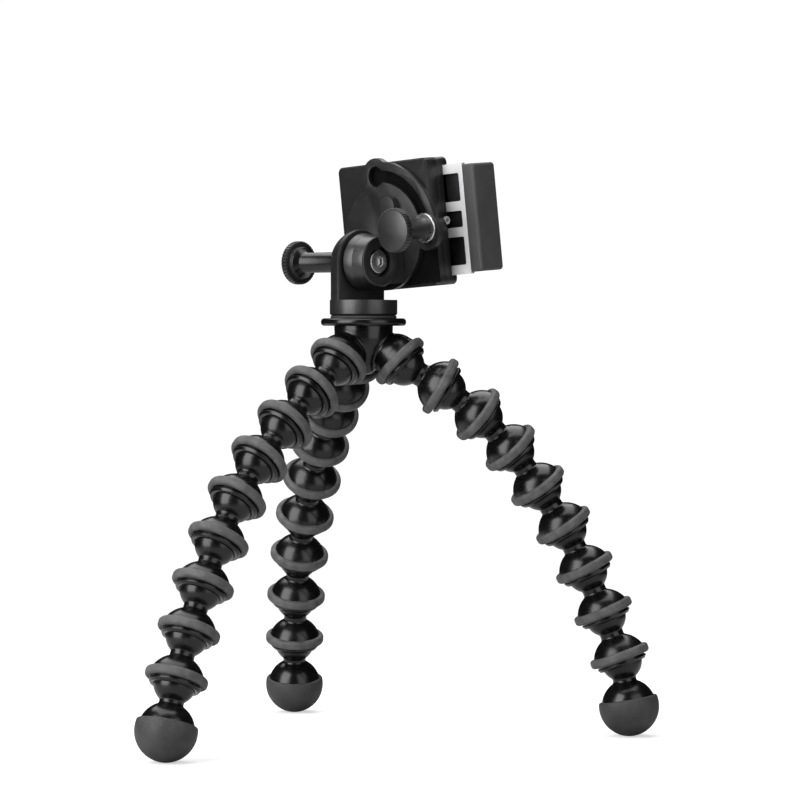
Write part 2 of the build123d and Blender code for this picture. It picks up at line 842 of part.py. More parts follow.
# Front shell: the rest of the depth, with the ladder's way out on the right
with BuildPart() as clamp_front_shell:
    with BuildSketch(clamp_sheet(split_depth)):
        RectangleRounded(body_width, body_height, body_corner)
    extrude(amount=body_depth - split_depth)
    front_rim = clamp_front_shell.faces().sort_by(Axis(clamp_origin, clamp_plane.y_dir))[-1].edges()
    chamfer(front_rim, body_edge)
    with BuildSketch(clamp_sheet(split_depth)):
        RectangleRounded(body_width - 2 * shell_wall, body_height - 2 * shell_wall, body_corner - shell_wall)
    extrude(amount=ladder_end + side_gap - split_depth, mode=Mode.SUBTRACT)
    with BuildSketch(clamp_side(half_width - shell_wall - overrun)):
        with Locations((ladder_middle, 0)):
            Rectangle(ladder_end - frame_start + 2 * side_gap, frame_height + 2 * side_gap)
    extrude(amount=shell_wall + 2 * overrun, mode=Mode.SUBTRACT)
    with BuildSketch(clamp_side(half_width + overrun)):
        with Locations((rod_depth, 0)):
            Circle(guide_tube_radius + seat_gap)
    extrude(amount=-shell_wall - 2 * overrun, mode=Mode.SUBTRACT)
    with BuildSketch(clamp_sheet(split_depth)):
        with Locations(*post_spots):
            Circle(post_radius)
    extrude(amount=body_depth - split_depth - front_wall / 2)
    with BuildSketch(clamp_sheet(split_depth)):
        with Locations(*post_spots):
            Circle(screw_radius + seat_gap)
    extrude(amount=body_depth - split_depth, mode=Mode.SUBTRACT)
    with BuildSketch(clamp_sheet(body_depth)):
        with Locations(*post_spots):
            Circle(screw_head_radius + seat_gap)
    extrude(amount=-screw_head_height - seat_gap, mode=Mode.SUBTRACT)
keep("clamp_front_shell", clamp_front_shell.part)

# Screws from the front, under the rubber pad, into the back shell's posts
screw_seat = body_depth - screw_head_height
with BuildPart() as clamp_screws:
    with BuildSketch(clamp_sheet(screw_seat)):
        with Locations(*post_spots):
            Circle(screw_head_radius)
    extrude(amount=screw_head_height - seat_gap)
    with BuildSketch(clamp_sheet(body_depth - screw_head_height / 2)):
        with Locations(*post_spots):
            SlotOverall(screw_head_radius, screw_radius / 2)
    extrude(amount=screw_head_height / 2, mode=Mode.SUBTRACT)
    with BuildSketch(clamp_sheet(screw_seat)):
        with Locations(*post_spots):
            Circle(screw_radius)
    extrude(amount=split_depth - screw_thread_length + seat_gap - screw_seat)
keep("clamp_screws", clamp_screws.part)

# Pivot screw: through the back shell into the arm, with a washer under its head
head_depth = shell_wall + pivot_washer_thickness + 2 * running_gap
with BuildPart() as pivot_screw:
    with BuildSketch(clamp_sheet(head_depth)):
        with Locations(pivot_spot):
            Circle(pivot_head_radius)
    extrude(amount=pivot_head_height)
    with BuildSketch(clamp_sheet(head_depth)):
        with Locations(pivot_spot):
            Circle(pivot_radius)
    extrude(amount=seat_gap - head_depth - body_gap_to_arm - arm_plate_thickness)
keep("pivot_screw", pivot_screw.part)

with BuildPart() as pivot_washer:
    with BuildSketch(clamp_sheet(shell_wall + running_gap)):
        with Locations(pivot_spot):
            Circle(pivot_washer_radius)
            Circle(pivot_radius + running_gap, mode=Mode.SUBTRACT)
    extrude(amount=pivot_washer_thickness)
keep("pivot_washer", pivot_washer.part)

# Lock stud: from the back shell's lug, out through the arm's slot, with washer and knob
arm_front = body_gap_to_arm + arm_plate_thickness
washer_far = arm_front + running_gap + lock_washer_thickness
stud_length = washer_far + running_gap + lock_stem_length
flange_depth = lug_depth - lock_flange_height

with BuildPart() as lock_stud:
    with BuildSketch(clamp_sheet(flange_depth)):
        with Locations(stud_spot):
            Circle(lock_flange_radius)
    extrude(amount=lock_flange_height)
    with BuildSketch(clamp_sheet(flange_depth)):
        with Locations(stud_spot):
            Circle(lock_stud_radius)
    extrude(amount=-(flange_depth + stud_length))
keep("lock_stud", lock_stud.part)

with BuildPart() as lock_washer:
    with BuildSketch(clamp_sheet(-arm_front - running_gap)):
        with Locations(stud_spot):
            Circle(lock_washer_radius)
            Circle(lock_stud_radius + running_gap, mode=Mode.SUBTRACT)
    extrude(amount=-lock_washer_thickness)
    washer_rims = (
        lock_washer.edges()
        .filter_by(GeomType.CIRCLE)
        .filter_by(lambda edge: abs(edge.radius - lock_washer_radius) < running_gap)
    )
    chamfer(washer_rims.sort_by(Axis(clamp_origin, clamp_plane.y_dir))[0], washer_edge)
keep("lock_washer", lock_washer.part)

lock_knob_plane = Plane(
    origin=clamp_plane.from_local_coords(Vector(stud_right, -washer_far - running_gap, stud_up - body_rise)),
    x_dir=clamp_plane.z_dir,
    z_dir=clamp_plane.y_dir * -1,
)
lock_knob = knob(lock_stem_length, lock_stud_radius, lock_stem_length + running_gap)
keep("lock_knob", lock_knob.moved(lock_knob_plane.location))


def jaw_wall_profile(face, out, reach_back):
    # depth-wise section of a jaw, drawn in width and depth: wall, lip and a root towards the body
    lip_end = jaw_start + jaw_depth
    return (
        (face + out * pad_thickness, jaw_start),
        (face + out * (pad_thickness + jaw_wall), jaw_start),
        (face + out * (pad_thickness + jaw_wall), lip_end),
        (face - out * jaw_lip_reach, lip_end),
        (face - out * jaw_lip_reach, lip_end - jaw_lip_depth),
        (face + out * pad_thickness, lip_end - jaw_lip_depth),
        (face + out * pad_thickness, body_depth),
        (reach_back, body_depth),
        (reach_back, jaw_start),
        (face + out * pad_thickness, jaw_start),
    )


plan = Plane(origin=clamp_origin, x_dir=clamp_plane.x_dir, z_dir=clamp_plane.z_dir)


def jaw(face, out, reach_back):
    # a jaw whose pad's face is at this width; out is 1 on the right and -1 on the left
    lip_end = jaw_start + jaw_depth
    with BuildPart() as body:
        with BuildSketch(plan.offset(-jaw_height / 2)):
            with BuildLine():
                Polyline(*jaw_wall_profile(face, out, reach_back))
            make_face()
        extrude(amount=jaw_height)
        outside = body.faces().sort_by(Axis(clamp_origin, clamp_plane.x_dir * out))[-1]
        fillet(outside.edges().filter_by(Axis(clamp_origin, clamp_plane.y_dir)), jaw_corner)
        outside = body.faces().sort_by(Axis(clamp_origin, clamp_plane.x_dir * out))[-1]
        chamfer(outside.edges().filter_by(Axis(clamp_origin, clamp_plane.z_dir)), jaw_edge)
    return body.part


pad_start = body_depth + part_gap
pad_end = jaw_start + jaw_depth - jaw_lip_depth - seat_gap


def jaw_pad(face, out):
    # rubber strip on a jaw's inner face, with level grooves
    with BuildPart() as body:
        with BuildSketch(plan.offset(-jaw_height / 2 + jaw_edge)):
            with BuildLine():
                Polyline(
                    (face, pad_start),
                    (face + out * pad_thickness, pad_start),
                    (face + out * pad_thickness, pad_end),
                    (face, pad_end),
                    (face, pad_start),
                )
            make_face()
        extrude(amount=jaw_height - 2 * jaw_edge)
        with BuildSketch(clamp_side(face)):
            with GridLocations(0, jaw_height / (pad_groove_count + 1), 1, pad_groove_count):
                with Locations(((pad_start + pad_end) / 2, 0)):
                    Rectangle(pad_end - pad_start + overrun, pad_groove_width)
        extrude(amount=out * pad_groove_depth, mode=Mode.SUBTRACT)
    return body.part


fixed_face = -half_width - fixed_face_reach
moving_face = fixed_face + opening_at_rest
keep("fixed_jaw", jaw(fixed_face, -1, -half_width))
keep("fixed_jaw_pad", jaw_pad(fixed_face, -1))
keep("moving_jaw", jaw(moving_face, 1, moving_face - root_reach))
keep("moving_jaw_pad", jaw_pad(moving_face, 1))

# Grooved rubber pad on the clamp's front
front_pad_spacing = (body_height - 2 * front_pad_margin) / (front_pad_groove_count + 1)
with BuildPart() as front_pad:
    with BuildSketch(clamp_sheet(body_depth)):
        RectangleRounded(body_width - 2 * front_pad_margin, body_height - 2 * front_pad_margin, body_corner)
    extrude(amount=front_pad_thickness)
    with BuildSketch(clamp_sheet(body_depth + front_pad_thickness)):
        with GridLocations(0, front_pad_spacing, 1, front_pad_groove_count):
            Rectangle(body_width, pad_groove_width)
    extrude(amount=-pad_groove_depth, mode=Mode.SUBTRACT)
keep("clamp_front_pad", front_pad.part)

# Ladder frame: four level bars between two upright rails
frame_right = moving_face - root_reach
frame_middle = -(frame_left + frame_right) / 2
window_width = frame_right - frame_left - 2 * frame_rail
outer_window = (frame_height - 4 * frame_bar - frame_middle_window) / 2
outer_window_spot = frame_middle_window / 2 + frame_bar + outer_window / 2

with BuildPart() as jaw_frame:
    with BuildSketch(plan.offset(-frame_height / 2)):
        with Locations(((frame_left + frame_right) / 2, frame_start + frame_thickness / 2)):
            Rectangle(frame_right - frame_left, frame_thickness)
    extrude(amount=frame_height)
    with BuildSketch(clamp_sheet(frame_start - overrun)):
        with Locations((frame_middle, 0)):
            RectangleRounded(window_width, frame_middle_window, frame_corner)
        with Locations((frame_middle, outer_window_spot), (frame_middle, -outer_window_spot)):
            RectangleRounded(window_width, outer_window, frame_corner)
    extrude(amount=frame_thickness + 2 * overrun, mode=Mode.SUBTRACT)
    with BuildSketch(plan.offset(-frame_height / 2)):
        with Locations((frame_left + frame_rail / 2, frame_start - frame_block_depth / 2)):
            Rectangle(frame_rail, frame_block_depth)
    extrude(amount=frame_height)
    with BuildSketch(clamp_side(frame_left)):
        with Locations((rod_depth, rod_offset), (rod_depth, -rod_offset)):
            Circle(rod_radius + running_gap)
        with Locations((rod_depth, 0)):
            Circle(guide_tube_radius + running_gap)
    extrude(amount=frame_rail, mode=Mode.SUBTRACT)
keep("jaw_frame", jaw_frame.part)

# Dark plate behind the ladder's windows, from the jaw back to just inside the body
backing_left = post_right + post_reach + slide_in
with BuildPart() as jaw_backing:
    with BuildSketch(plan.offset(-frame_height / 2)):
        with Locations(((backing_left + frame_right) / 2, backing_start + backing_thickness / 2)):
            Rectangle(frame_right - backing_left, backing_thickness)
    extrude(amount=frame_height)
keep("jaw_backing", jaw_backing.part)

# Middle guide tube, fixed in the body, its end just out of the right wall
with BuildPart() as guide_tube:
    with BuildSketch(clamp_side(-inner_half_width)):
        with Locations((rod_depth, 0)):
            Circle(guide_tube_radius)
            Circle(guide_tube_radius / 2, mode=Mode.SUBTRACT)
    extrude(amount=inner_half_width + half_width + guide_tube_proud)
keep("guide_tube", guide_tube.part)

# Two fixed rods with a spring on each, between the frame's inner block and the right wall
with BuildPart() as guide_rods:
    with BuildSketch(clamp_side(-inner_half_width)):
        with Locations((rod_depth, rod_offset), (rod_depth, -rod_offset)):
            Circle(rod_radius)
    extrude(amount=2 * inner_half_width)
keep("guide_rods", guide_rods.part)

spring_start = frame_left + frame_rail
with BuildPart() as jaw_springs:
    with BuildSketch(clamp_side(spring_start)):
        with Locations((rod_depth, rod_offset), (rod_depth, -rod_offset)):
            Circle(spring_radius)
            Circle(spring_radius - spring_wall, mode=Mode.SUBTRACT)
    extrude(amount=inner_half_width - spring_start)
keep("jaw_springs", jaw_springs.part)

for side, (points, directions) in legs.items():
    print(side, "first ball", tuple(points[0]), "foot", tuple(points[-1]))
print(len(written), "nodes written")
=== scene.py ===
import json
import math

import bpy
from mathutils import Matrix, Vector


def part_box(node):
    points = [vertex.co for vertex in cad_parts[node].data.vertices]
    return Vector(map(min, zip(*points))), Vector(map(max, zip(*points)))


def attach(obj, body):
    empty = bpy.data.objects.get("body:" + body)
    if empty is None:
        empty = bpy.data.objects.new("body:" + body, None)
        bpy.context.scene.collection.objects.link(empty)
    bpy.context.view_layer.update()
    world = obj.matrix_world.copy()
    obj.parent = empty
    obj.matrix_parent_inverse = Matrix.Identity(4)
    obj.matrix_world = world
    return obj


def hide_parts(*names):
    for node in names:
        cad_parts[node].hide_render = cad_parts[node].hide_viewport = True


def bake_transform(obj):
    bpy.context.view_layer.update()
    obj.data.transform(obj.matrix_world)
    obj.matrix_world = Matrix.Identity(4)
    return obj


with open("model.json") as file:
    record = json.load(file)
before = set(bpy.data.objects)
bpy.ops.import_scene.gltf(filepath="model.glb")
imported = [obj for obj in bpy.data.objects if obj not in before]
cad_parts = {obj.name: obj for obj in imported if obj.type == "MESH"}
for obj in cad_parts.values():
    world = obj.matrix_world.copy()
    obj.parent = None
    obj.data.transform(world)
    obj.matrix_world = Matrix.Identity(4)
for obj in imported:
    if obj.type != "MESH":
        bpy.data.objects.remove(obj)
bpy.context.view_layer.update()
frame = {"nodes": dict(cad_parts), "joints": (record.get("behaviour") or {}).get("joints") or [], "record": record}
print("frame loaded:", len(frame["nodes"]), "nodes")

mm = 0.001
joints = {joint["name"]: joint for joint in frame["joints"]}
sides = ("left", "right", "rear")
linkCount = 8
plateLow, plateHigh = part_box("hub_plate")
hubAxis = (plateLow + plateHigh) / 2


# frames of the moving parts, read from the joints
def frameAt(origin, xAxis, zAxis):
    z = Vector(zAxis).normalized()
    x = Vector(xAxis)
    x = (x - z * x.dot(z)).normalized()
    matrix = Matrix((x, z.cross(x), z)).transposed().to_4x4()
    matrix.translation = Vector(origin)
    return matrix


tilt = joints["head_tilt"]
turn = joints["clamp_turn"]
tiltPoint = Vector(tilt["pos_m"])
armX = Vector(tilt["axis"])
awayAxis = -Vector(turn["axis"])
clampX = Vector(joints["jaw_slide"]["axis"])
pivotFrame = frameAt(turn["pos_m"], clampX, clampX.cross(awayAxis))


# small tools for modelling
mergeReach = 0.002  # corners nearer than this are one, in millimetres
pole = 89.4  # degrees; a lathe profile starts or ends just off its axis
poleRadius = 0.2


def clearSelection():
    if bpy.context.object and bpy.context.object.mode != "OBJECT":
        bpy.ops.object.mode_set(mode="OBJECT")
    bpy.ops.object.select_all(action="DESELECT")


def startPiece(name):
    piece = bpy.context.object
    piece.name = name
    piece.data.name = name
    return piece


def pickOnly(piece):
    clearSelection()
    bpy.context.view_layer.objects.active = piece
    piece.select_set(True)


def editAll(piece):
    pickOnly(piece)
    bpy.ops.object.mode_set(mode="EDIT")
    bpy.ops.mesh.select_all(action="SELECT")


def tidyMesh(piece, smoothAngle=32):
    # closes the mesh up, turns its faces outwards and smooths what is round
    editAll(piece)
    bpy.ops.mesh.remove_doubles(threshold=mergeReach * mm)
    bpy.ops.mesh.normals_make_consistent(inside=False)
    bpy.ops.object.mode_set(mode="OBJECT")
    bpy.ops.object.shade_smooth_by_angle(angle=math.radians(smoothAngle))


def arc(centerRadius, centerHeight, radius, start, stop, count):
    # points of an arc in a lathe profile; angles in degrees, 0 points outwards and 90 up
    points = []
    for step in range(count + 1):
        angle = math.radians(start + (stop - start) * step / count)
        points.append((centerRadius + radius * math.cos(angle), centerHeight + radius * math.sin(angle)))
    return points


def turned(name, profile, steps=96, ring=False):
    # a lathe piece about Z, from points of radius and height in millimetres
    clearSelection()
    bpy.ops.mesh.primitive_circle_add(vertices=steps, radius=profile[0][0] * mm, location=(0, 0, 0))
    piece = startPiece(name)
    bpy.ops.object.mode_set(mode="EDIT")
    bpy.ops.mesh.select_mode(type="VERT")
    bpy.ops.mesh.select_all(action="SELECT")
    bpy.ops.transform.translate(value=(0, 0, profile[0][1] * mm))
    for (radius, height), (nextRadius, nextHeight) in zip(profile, profile[1:]):
        rise = (0, 0, (nextHeight - height) * mm)
        bpy.ops.mesh.extrude_edges_move(TRANSFORM_OT_translate={"value": rise})
        share = nextRadius / radius
        bpy.ops.transform.resize(value=(share, share, 1), center_override=(0, 0, nextHeight * mm))
    bpy.ops.mesh.select_all(action="DESELECT")
    bpy.ops.mesh.select_non_manifold()
    if ring:
        bpy.ops.mesh.bridge_edge_loops()
    else:
        bpy.ops.mesh.merge(type="COLLAPSE")
    bpy.ops.object.mode_set(mode="OBJECT")
    return piece


def placed(piece, matrix):
    # the place goes into the mesh, so the object stays at the origin
    piece.data.transform(matrix)
    return piece


def copyOf(source, name, matrix):
    piece = source.copy()
    piece.data = source.data.copy()
    piece.name = name
    piece.data.name = name
    bpy.context.scene.collection.objects.link(piece)
    return placed(piece, matrix)


def drop(*pieces):
    for piece in pieces:
        bpy.data.objects.remove(piece, do_unlink=True)


def joined(pieces, name):
    pickOnly(pieces[0])
    for piece in pieces:
        piece.select_set(True)
    bpy.ops.object.join()
    return startPiece(name)


def bisected(piece, point, outwards):
    # cuts off what lies beyond the point and closes the cut
    editAll(piece)
    bpy.ops.mesh.bisect(plane_co=point, plane_no=outwards, use_fill=True, clear_outer=True)
    bpy.ops.object.mode_set(mode="OBJECT")


def applied(piece, name, kind, **values):
    pickOnly(piece)
    modifier = piece.modifiers.new(name, kind)
    for label, value in values.items():
        setattr(modifier, label, value)
    bpy.ops.object.modifier_apply(modifier=name)


def meshCopy(node, name):
    # a new object with a node's mesh, where the node is
    piece = bpy.data.objects.new(name, frame["nodes"][node].data.copy())
    piece.data.name = name
    bpy.context.scene.collection.objects.link(piece)
    return piece


def finished(piece, body, material, replaced=()):
    piece.data.materials.clear()
    piece.data.materials.append(material)
    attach(piece, body)
    if replaced:
        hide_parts(*replaced)


# shader groups that several finishes share
def newGroup(name, inputs, outputs):
    group = bpy.data.node_groups.new(name, "ShaderNodeTree")
    for label, default in inputs.items():
        kind = "NodeSocketVector" if default is None else "NodeSocketFloat"
        socket = group.interface.new_socket(name=label, in_out="INPUT", socket_type=kind)
        if default is not None:
            socket.default_value = default
    for label, kind in outputs.items():
        group.interface.new_socket(name=label, in_out="OUTPUT", socket_type=kind)
    return group, group.nodes.new("NodeGroupInput"), group.nodes.new("NodeGroupOutput")


def addNode(tree, kind, **values):
    node = tree.nodes.new(kind)
    for label, value in values.items():
        setattr(node, label, value)
    return node


def addNoise(tree, vector, scale, detail=4.0, roughness=0.55, distortion=0.0):
    noise = addNode(tree, "ShaderNodeTexNoise")
    tree.links.new(vector, noise.inputs["Vector"])
    if isinstance(scale, (int, float)):
        noise.inputs["Scale"].default_value = scale
    else:
        tree.links.new(scale, noise.inputs["Scale"])
    noise.inputs["Detail"].default_value = detail
    noise.inputs["Roughness"].default_value = roughness
    noise.inputs["Distortion"].default_value = distortion
    return noise.outputs["Fac"]


def addMath(tree, operation, first, second, clamp=False):
    node = addNode(tree, "ShaderNodeMath", operation=operation, use_clamp=clamp)
    for place, value in enumerate((first, second)):
        if isinstance(value, (int, float)):
            node.inputs[place].default_value = value
        else:
            tree.links.new(value, node.inputs[place])
    return node.outputs[0]


def addRange(tree, value, low, high, toLow=0.0, toHigh=1.0):
    node = addNode(tree, "ShaderNodeMapRange")
    tree.links.new(value, node.inputs["Value"])
    for label, number in (("From Min", low), ("From Max", high), ("To Min", toLow), ("To Max", toHigh)):
        node.inputs[label].default_value = number
    return node.outputs["Result"]


def addStretch(tree, vector, scale, rotation=(0, 0, 0)):
    stretch = addNode(tree, "ShaderNodeMapping")
    stretch.inputs["Rotation"].default_value = rotation
    stretch.inputs["Scale"].default_value = scale
    tree.links.new(vector, stretch.inputs["Vector"])
    return stretch.outputs["Vector"]


def addRamp(tree, value, places, dark, light):
    ramp = addNode(tree, "ShaderNodeValToRGB")
    for element, place, colour in zip(ramp.color_ramp.elements, places, (dark, light)):
        element.position = place
        element.color = (*colour, 1)
    tree.links.new(value, ramp.inputs["Fac"])
    return ramp.outputs["Color"]


def addBump(tree, height, strength, depth):
    bump = addNode(tree, "ShaderNodeBump")
    bump.inputs["Strength"].default_value = strength
    bump.inputs["Distance"].default_value = depth * mm
    tree.links.new(height, bump.inputs["Height"])
    return bump.outputs["Normal"]


# noises are given as detail and roughness; shares say how much each part adds
grainLook = {"fine": (3.0, 0.6), "slow": (2.0, 0.5), "pitShare": 0.6, "slowShare": 0.7, "fineShare": 0.3}


def makeMouldGrain():
    # fine spark-eroded grain over a slow swell, as on moulded plastic and rubber
    look = grainLook
    group, given, result = newGroup(
        "mouldGrain", {"Vector": None, "Grain Scale": 2600.0, "Swell Scale": 60.0},
        {"Height": "NodeSocketFloat", "Tone": "NodeSocketFloat"})
    place = given.outputs["Vector"]
    fine = addNoise(group, place, given.outputs["Grain Scale"], *look["fine"])
    slow = addNoise(group, place, given.outputs["Swell Scale"], *look["slow"])
    cells = addNode(group, "ShaderNodeTexVoronoi")
    group.links.new(place, cells.inputs["Vector"])
    group.links.new(given.outputs["Grain Scale"], cells.inputs["Scale"])
    pits = addMath(group, "MULTIPLY", cells.outputs["Distance"], look["pitShare"])
    height = addMath(group, "ADD", fine, pits)
    group.links.new(addMath(group, "ADD", height, slow), result.inputs["Height"])
    slowTone = addMath(group, "MULTIPLY", slow, look["slowShare"])
    fineTone = addMath(group, "MULTIPLY", fine, look["fineShare"])
    group.links.new(addMath(group, "ADD", slowTone, fineTone), result.inputs["Tone"])
    return group


# noises are given as scale, detail and roughness, the smudges' with a distortion too
handlingLook = {
    "specks": (900.0, 5.0, 0.7), "speckRange": (0.5, 0.75), "patches": (55.0, 3.0, 0.6),
    "patchRange": (0.35, 0.7), "upRange": (0.1, 1.0), "sideDust": 0.15, "rubs": (180.0, 4.0, 0.7),
    "rubRange": (0.62, 0.78), "rubTurn": (0.4, 0.9, 0.3), "rubStretch": (1.0, 14.0, 5.0),
    "smudges": (120.0, 3.0, 0.5, 0.6),
}


def makeHandling():
    # dust that settles on upper faces, short rub marks and dull fingerprints
    look = handlingLook
    group, given, result = newGroup(
        "handling", {"Vector": None, "Dust": 0.3, "Rubs": 0.3},
        {"Dust Mask": "NodeSocketFloat", "Rub Mask": "NodeSocketFloat", "Smudge": "NodeSocketFloat"})
    place = given.outputs["Vector"]
    geometry = addNode(group, "ShaderNodeNewGeometry")
    split = addNode(group, "ShaderNodeSeparateXYZ")
    group.links.new(geometry.outputs["Normal"], split.inputs[0])
    up = addRange(group, split.outputs["Z"], *look["upRange"])
    specks = addRange(group, addNoise(group, place, *look["specks"]), *look["speckRange"])
    patches = addRange(group, addNoise(group, place, *look["patches"]), *look["patchRange"])
    dust = addMath(group, "MULTIPLY", specks, patches)
    dust = addMath(group, "MULTIPLY", dust, addMath(group, "ADD", up, look["sideDust"]))
    dust = addMath(group, "MULTIPLY", dust, given.outputs["Dust"], clamp=True)
    group.links.new(dust, result.inputs["Dust Mask"])
    stretched = addStretch(group, place, look["rubStretch"], look["rubTurn"])
    rubs = addRange(group, addNoise(group, stretched, *look["rubs"]), *look["rubRange"])
    rubs = addMath(group, "MULTIPLY", rubs, given.outputs["Rubs"], clamp=True)
    group.links.new(rubs, result.inputs["Rub Mask"])
    group.links.new(addNoise(group, place, *look["smudges"]), result.inputs["Smudge"])
    return group


mouldGrain = makeMouldGrain()
handling = makeHandling()

# each finish: colours from shade to light, roughness low and high, grain and swell size,
# depth of the grain in millimetres, dust and rubs, clear coat if any, and strength of reflection
finishes = {
    "blackGloss": {
        "dark": (0.0012, 0.0012, 0.0013), "light": (0.003, 0.003, 0.0031), "rough": (0.21, 0.29),
        "grain": 1500, "swell": 90, "depth": 0.008, "dust": 0.03, "rubs": 0.15, "shine": 0.36,
    },
    "ringRubber": {
        "dark": (0.031, 0.031, 0.0314), "light": (0.082, 0.082, 0.081), "rough": (0.6, 0.8),
        "grain": 3400, "swell": 260, "depth": 0.06, "dust": 0.3, "rubs": 0.3, "shine": 0.5,
    },
    "footRubber": {
        "dark": (0.015, 0.015, 0.0153), "light": (0.034, 0.034, 0.0337), "rough": (0.5, 0.7),
        "grain": 3400, "swell": 140, "depth": 0.05, "dust": 0.25, "rubs": 0.25, "shine": 0.4,
    },
    "padRubber": {
        "dark": (0.018, 0.018, 0.0185), "light": (0.032, 0.032, 0.032), "rough": (0.6, 0.8),
        "grain": 3400, "swell": 140, "depth": 0.05, "dust": 0.2, "rubs": 0.2, "shine": 0.5,
    },
    # painted shade: a near-black, dull finish for the sheet that stands in for shade on the clamp's back
    "paintedShade": {
        "dark": (0.001, 0.001, 0.001), "light": (0.0025, 0.0025, 0.0026), "rough": (0.8, 0.95),
        "grain": 5200, "swell": 200, "depth": 0.05, "dust": 0.02, "rubs": 0.1, "shine": 0.08,
    },
    "headPlastic": {
        "dark": (0.005, 0.005, 0.0052), "light": (0.011, 0.011, 0.0113), "rough": (0.34, 0.46),
        "grain": 4200, "swell": 70, "depth": 0.01, "dust": 0.06, "rubs": 0.2, "coat": 0.1, "shine": 0.5,
    },
    "knobPlastic": {
        "dark": (0.01, 0.01, 0.0104), "light": (0.02, 0.02, 0.0204), "rough": (0.34, 0.46),
        "grain": 4200, "swell": 70, "depth": 0.02, "dust": 0.1, "rubs": 0.25, "coat": 0.05, "shine": 0.5,
    },
    "clampPlastic": {
        "dark": (0.003, 0.003, 0.0031), "light": (0.0065, 0.0065, 0.0066), "rough": (0.46, 0.6),
        "grain": 4200, "swell": 60, "depth": 0.035, "dust": 0.06, "rubs": 0.2, "shine": 0.2,
    },
    "jawPlastic": {
        "dark": (0.03, 0.03, 0.0304), "light": (0.048, 0.048, 0.048), "rough": (0.5, 0.65),
        "grain": 3800, "swell": 60, "depth": 0.05, "dust": 0.12, "rubs": 0.25, "shine": 0.4,
    },
    "silverPlastic": {
        "dark": (0.42, 0.42, 0.425), "light": (0.56, 0.56, 0.565), "rough": (0.28, 0.42),
        "grain": 3000, "swell": 80, "depth": 0.02, "dust": 0.1, "rubs": 0.3, "coat": 0.1, "shine": 0.5,
    },
}
plasticLook = {
    "tones": (0.3, 0.7), "dustColour": (0.32, 0.31, 0.29, 1), "wear": {"Rub Mask": 0.25, "Dust Mask": 0.3},
    "relief": 0.6, "coatRough": 0.12, "refraction": 1.5,
}
smudgeRange = (0.35, 0.65)


def startMaterial(name):
    # a new material, with its node tree, its shader and the place on the piece
    material = bpy.data.materials.new(name)
    material.use_nodes = True
    tree = material.node_tree
    place = addNode(tree, "ShaderNodeTexCoord").outputs["Object"]
    return material, tree, tree.nodes["Principled BSDF"], place


def addMarks(tree, place):
    marks = addNode(tree, "ShaderNodeGroup", node_tree=handling)
    tree.links.new(place, marks.inputs["Vector"])
    return marks


def addRoughness(tree, marks, low, high, wear):
    # duller where it is smudged, and more so by each mask that wear names
    rough = addRange(tree, marks.outputs["Smudge"], *smudgeRange, low, high)
    for mask, share in wear.items():
        more = addMath(tree, "MULTIPLY", marks.outputs[mask], share)
        rough = addMath(tree, "ADD", rough, more, clamp=True)
    return rough


def makeFinish(name, values):
    look = plasticLook
    material, tree, shader, place = startMaterial(name)
    grain = addNode(tree, "ShaderNodeGroup", node_tree=mouldGrain)
    tree.links.new(place, grain.inputs["Vector"])
    grain.inputs["Grain Scale"].default_value = values["grain"]
    grain.inputs["Swell Scale"].default_value = values["swell"]
    marks = addMarks(tree, place)
    marks.inputs["Dust"].default_value = values["dust"]
    marks.inputs["Rubs"].default_value = values["rubs"]
    dusty = addNode(tree, "ShaderNodeMix", data_type="RGBA")
    tree.links.new(marks.outputs["Dust Mask"], dusty.inputs["Factor"])
    tones = addRamp(tree, grain.outputs["Tone"], look["tones"], values["dark"], values["light"])
    tree.links.new(tones, dusty.inputs["A"])
    dusty.inputs["B"].default_value = look["dustColour"]
    tree.links.new(dusty.outputs["Result"], shader.inputs["Base Color"])
    rough = addRoughness(tree, marks, *values["rough"], look["wear"])
    tree.links.new(rough, shader.inputs["Roughness"])
    relief = addBump(tree, grain.outputs["Height"], look["relief"], values["depth"])
    tree.links.new(relief, shader.inputs["Normal"])
    shader.inputs["Coat Weight"].default_value = values.get("coat", 0.0)
    shader.inputs["Coat Roughness"].default_value = look["coatRough"]
    shader.inputs["IOR"].default_value = look["refraction"]
    shader.inputs["Specular IOR Level"].default_value = values["shine"]
    return material


metals = {
    "brightSteel": {
        "dark": (0.62, 0.62, 0.63), "light": (0.82, 0.82, 0.83), "rough": (0.12, 0.26), "depth": 0.02,
    },
    "plainSteel": {
        "dark": (0.38, 0.38, 0.38), "light": (0.56, 0.56, 0.55), "rough": (0.2, 0.34), "depth": 0.03,
    },
}
metalLook = {
    "spots": (700.0, 5.0, 0.65), "tones": (0.35, 0.6), "wear": {"Rub Mask": 0.3}, "relief": 0.5,
    "lines": (600.0, 3.0, 0.6), "lineStretch": (9.0, 1.0, 9.0),
}


def makeMetal(name, values):
    # turned metal with fine marks and a few dull spots
    look = metalLook
    material, tree, shader, place = startMaterial(name)
    spots = addNoise(tree, place, *look["spots"])
    tones = addRamp(tree, spots, look["tones"], values["dark"], values["light"])
    tree.links.new(tones, shader.inputs["Base Color"])
    rough = addRoughness(tree, addMarks(tree, place), *values["rough"], look["wear"])
    tree.links.new(rough, shader.inputs["Roughness"])
    shader.inputs["Metallic"].default_value = 1.0
    lines = addNoise(tree, addStretch(tree, place, look["lineStretch"]), *look["lines"])
    tree.links.new(addBump(tree, lines, look["relief"], values["depth"]), shader.inputs["Normal"])
    return material


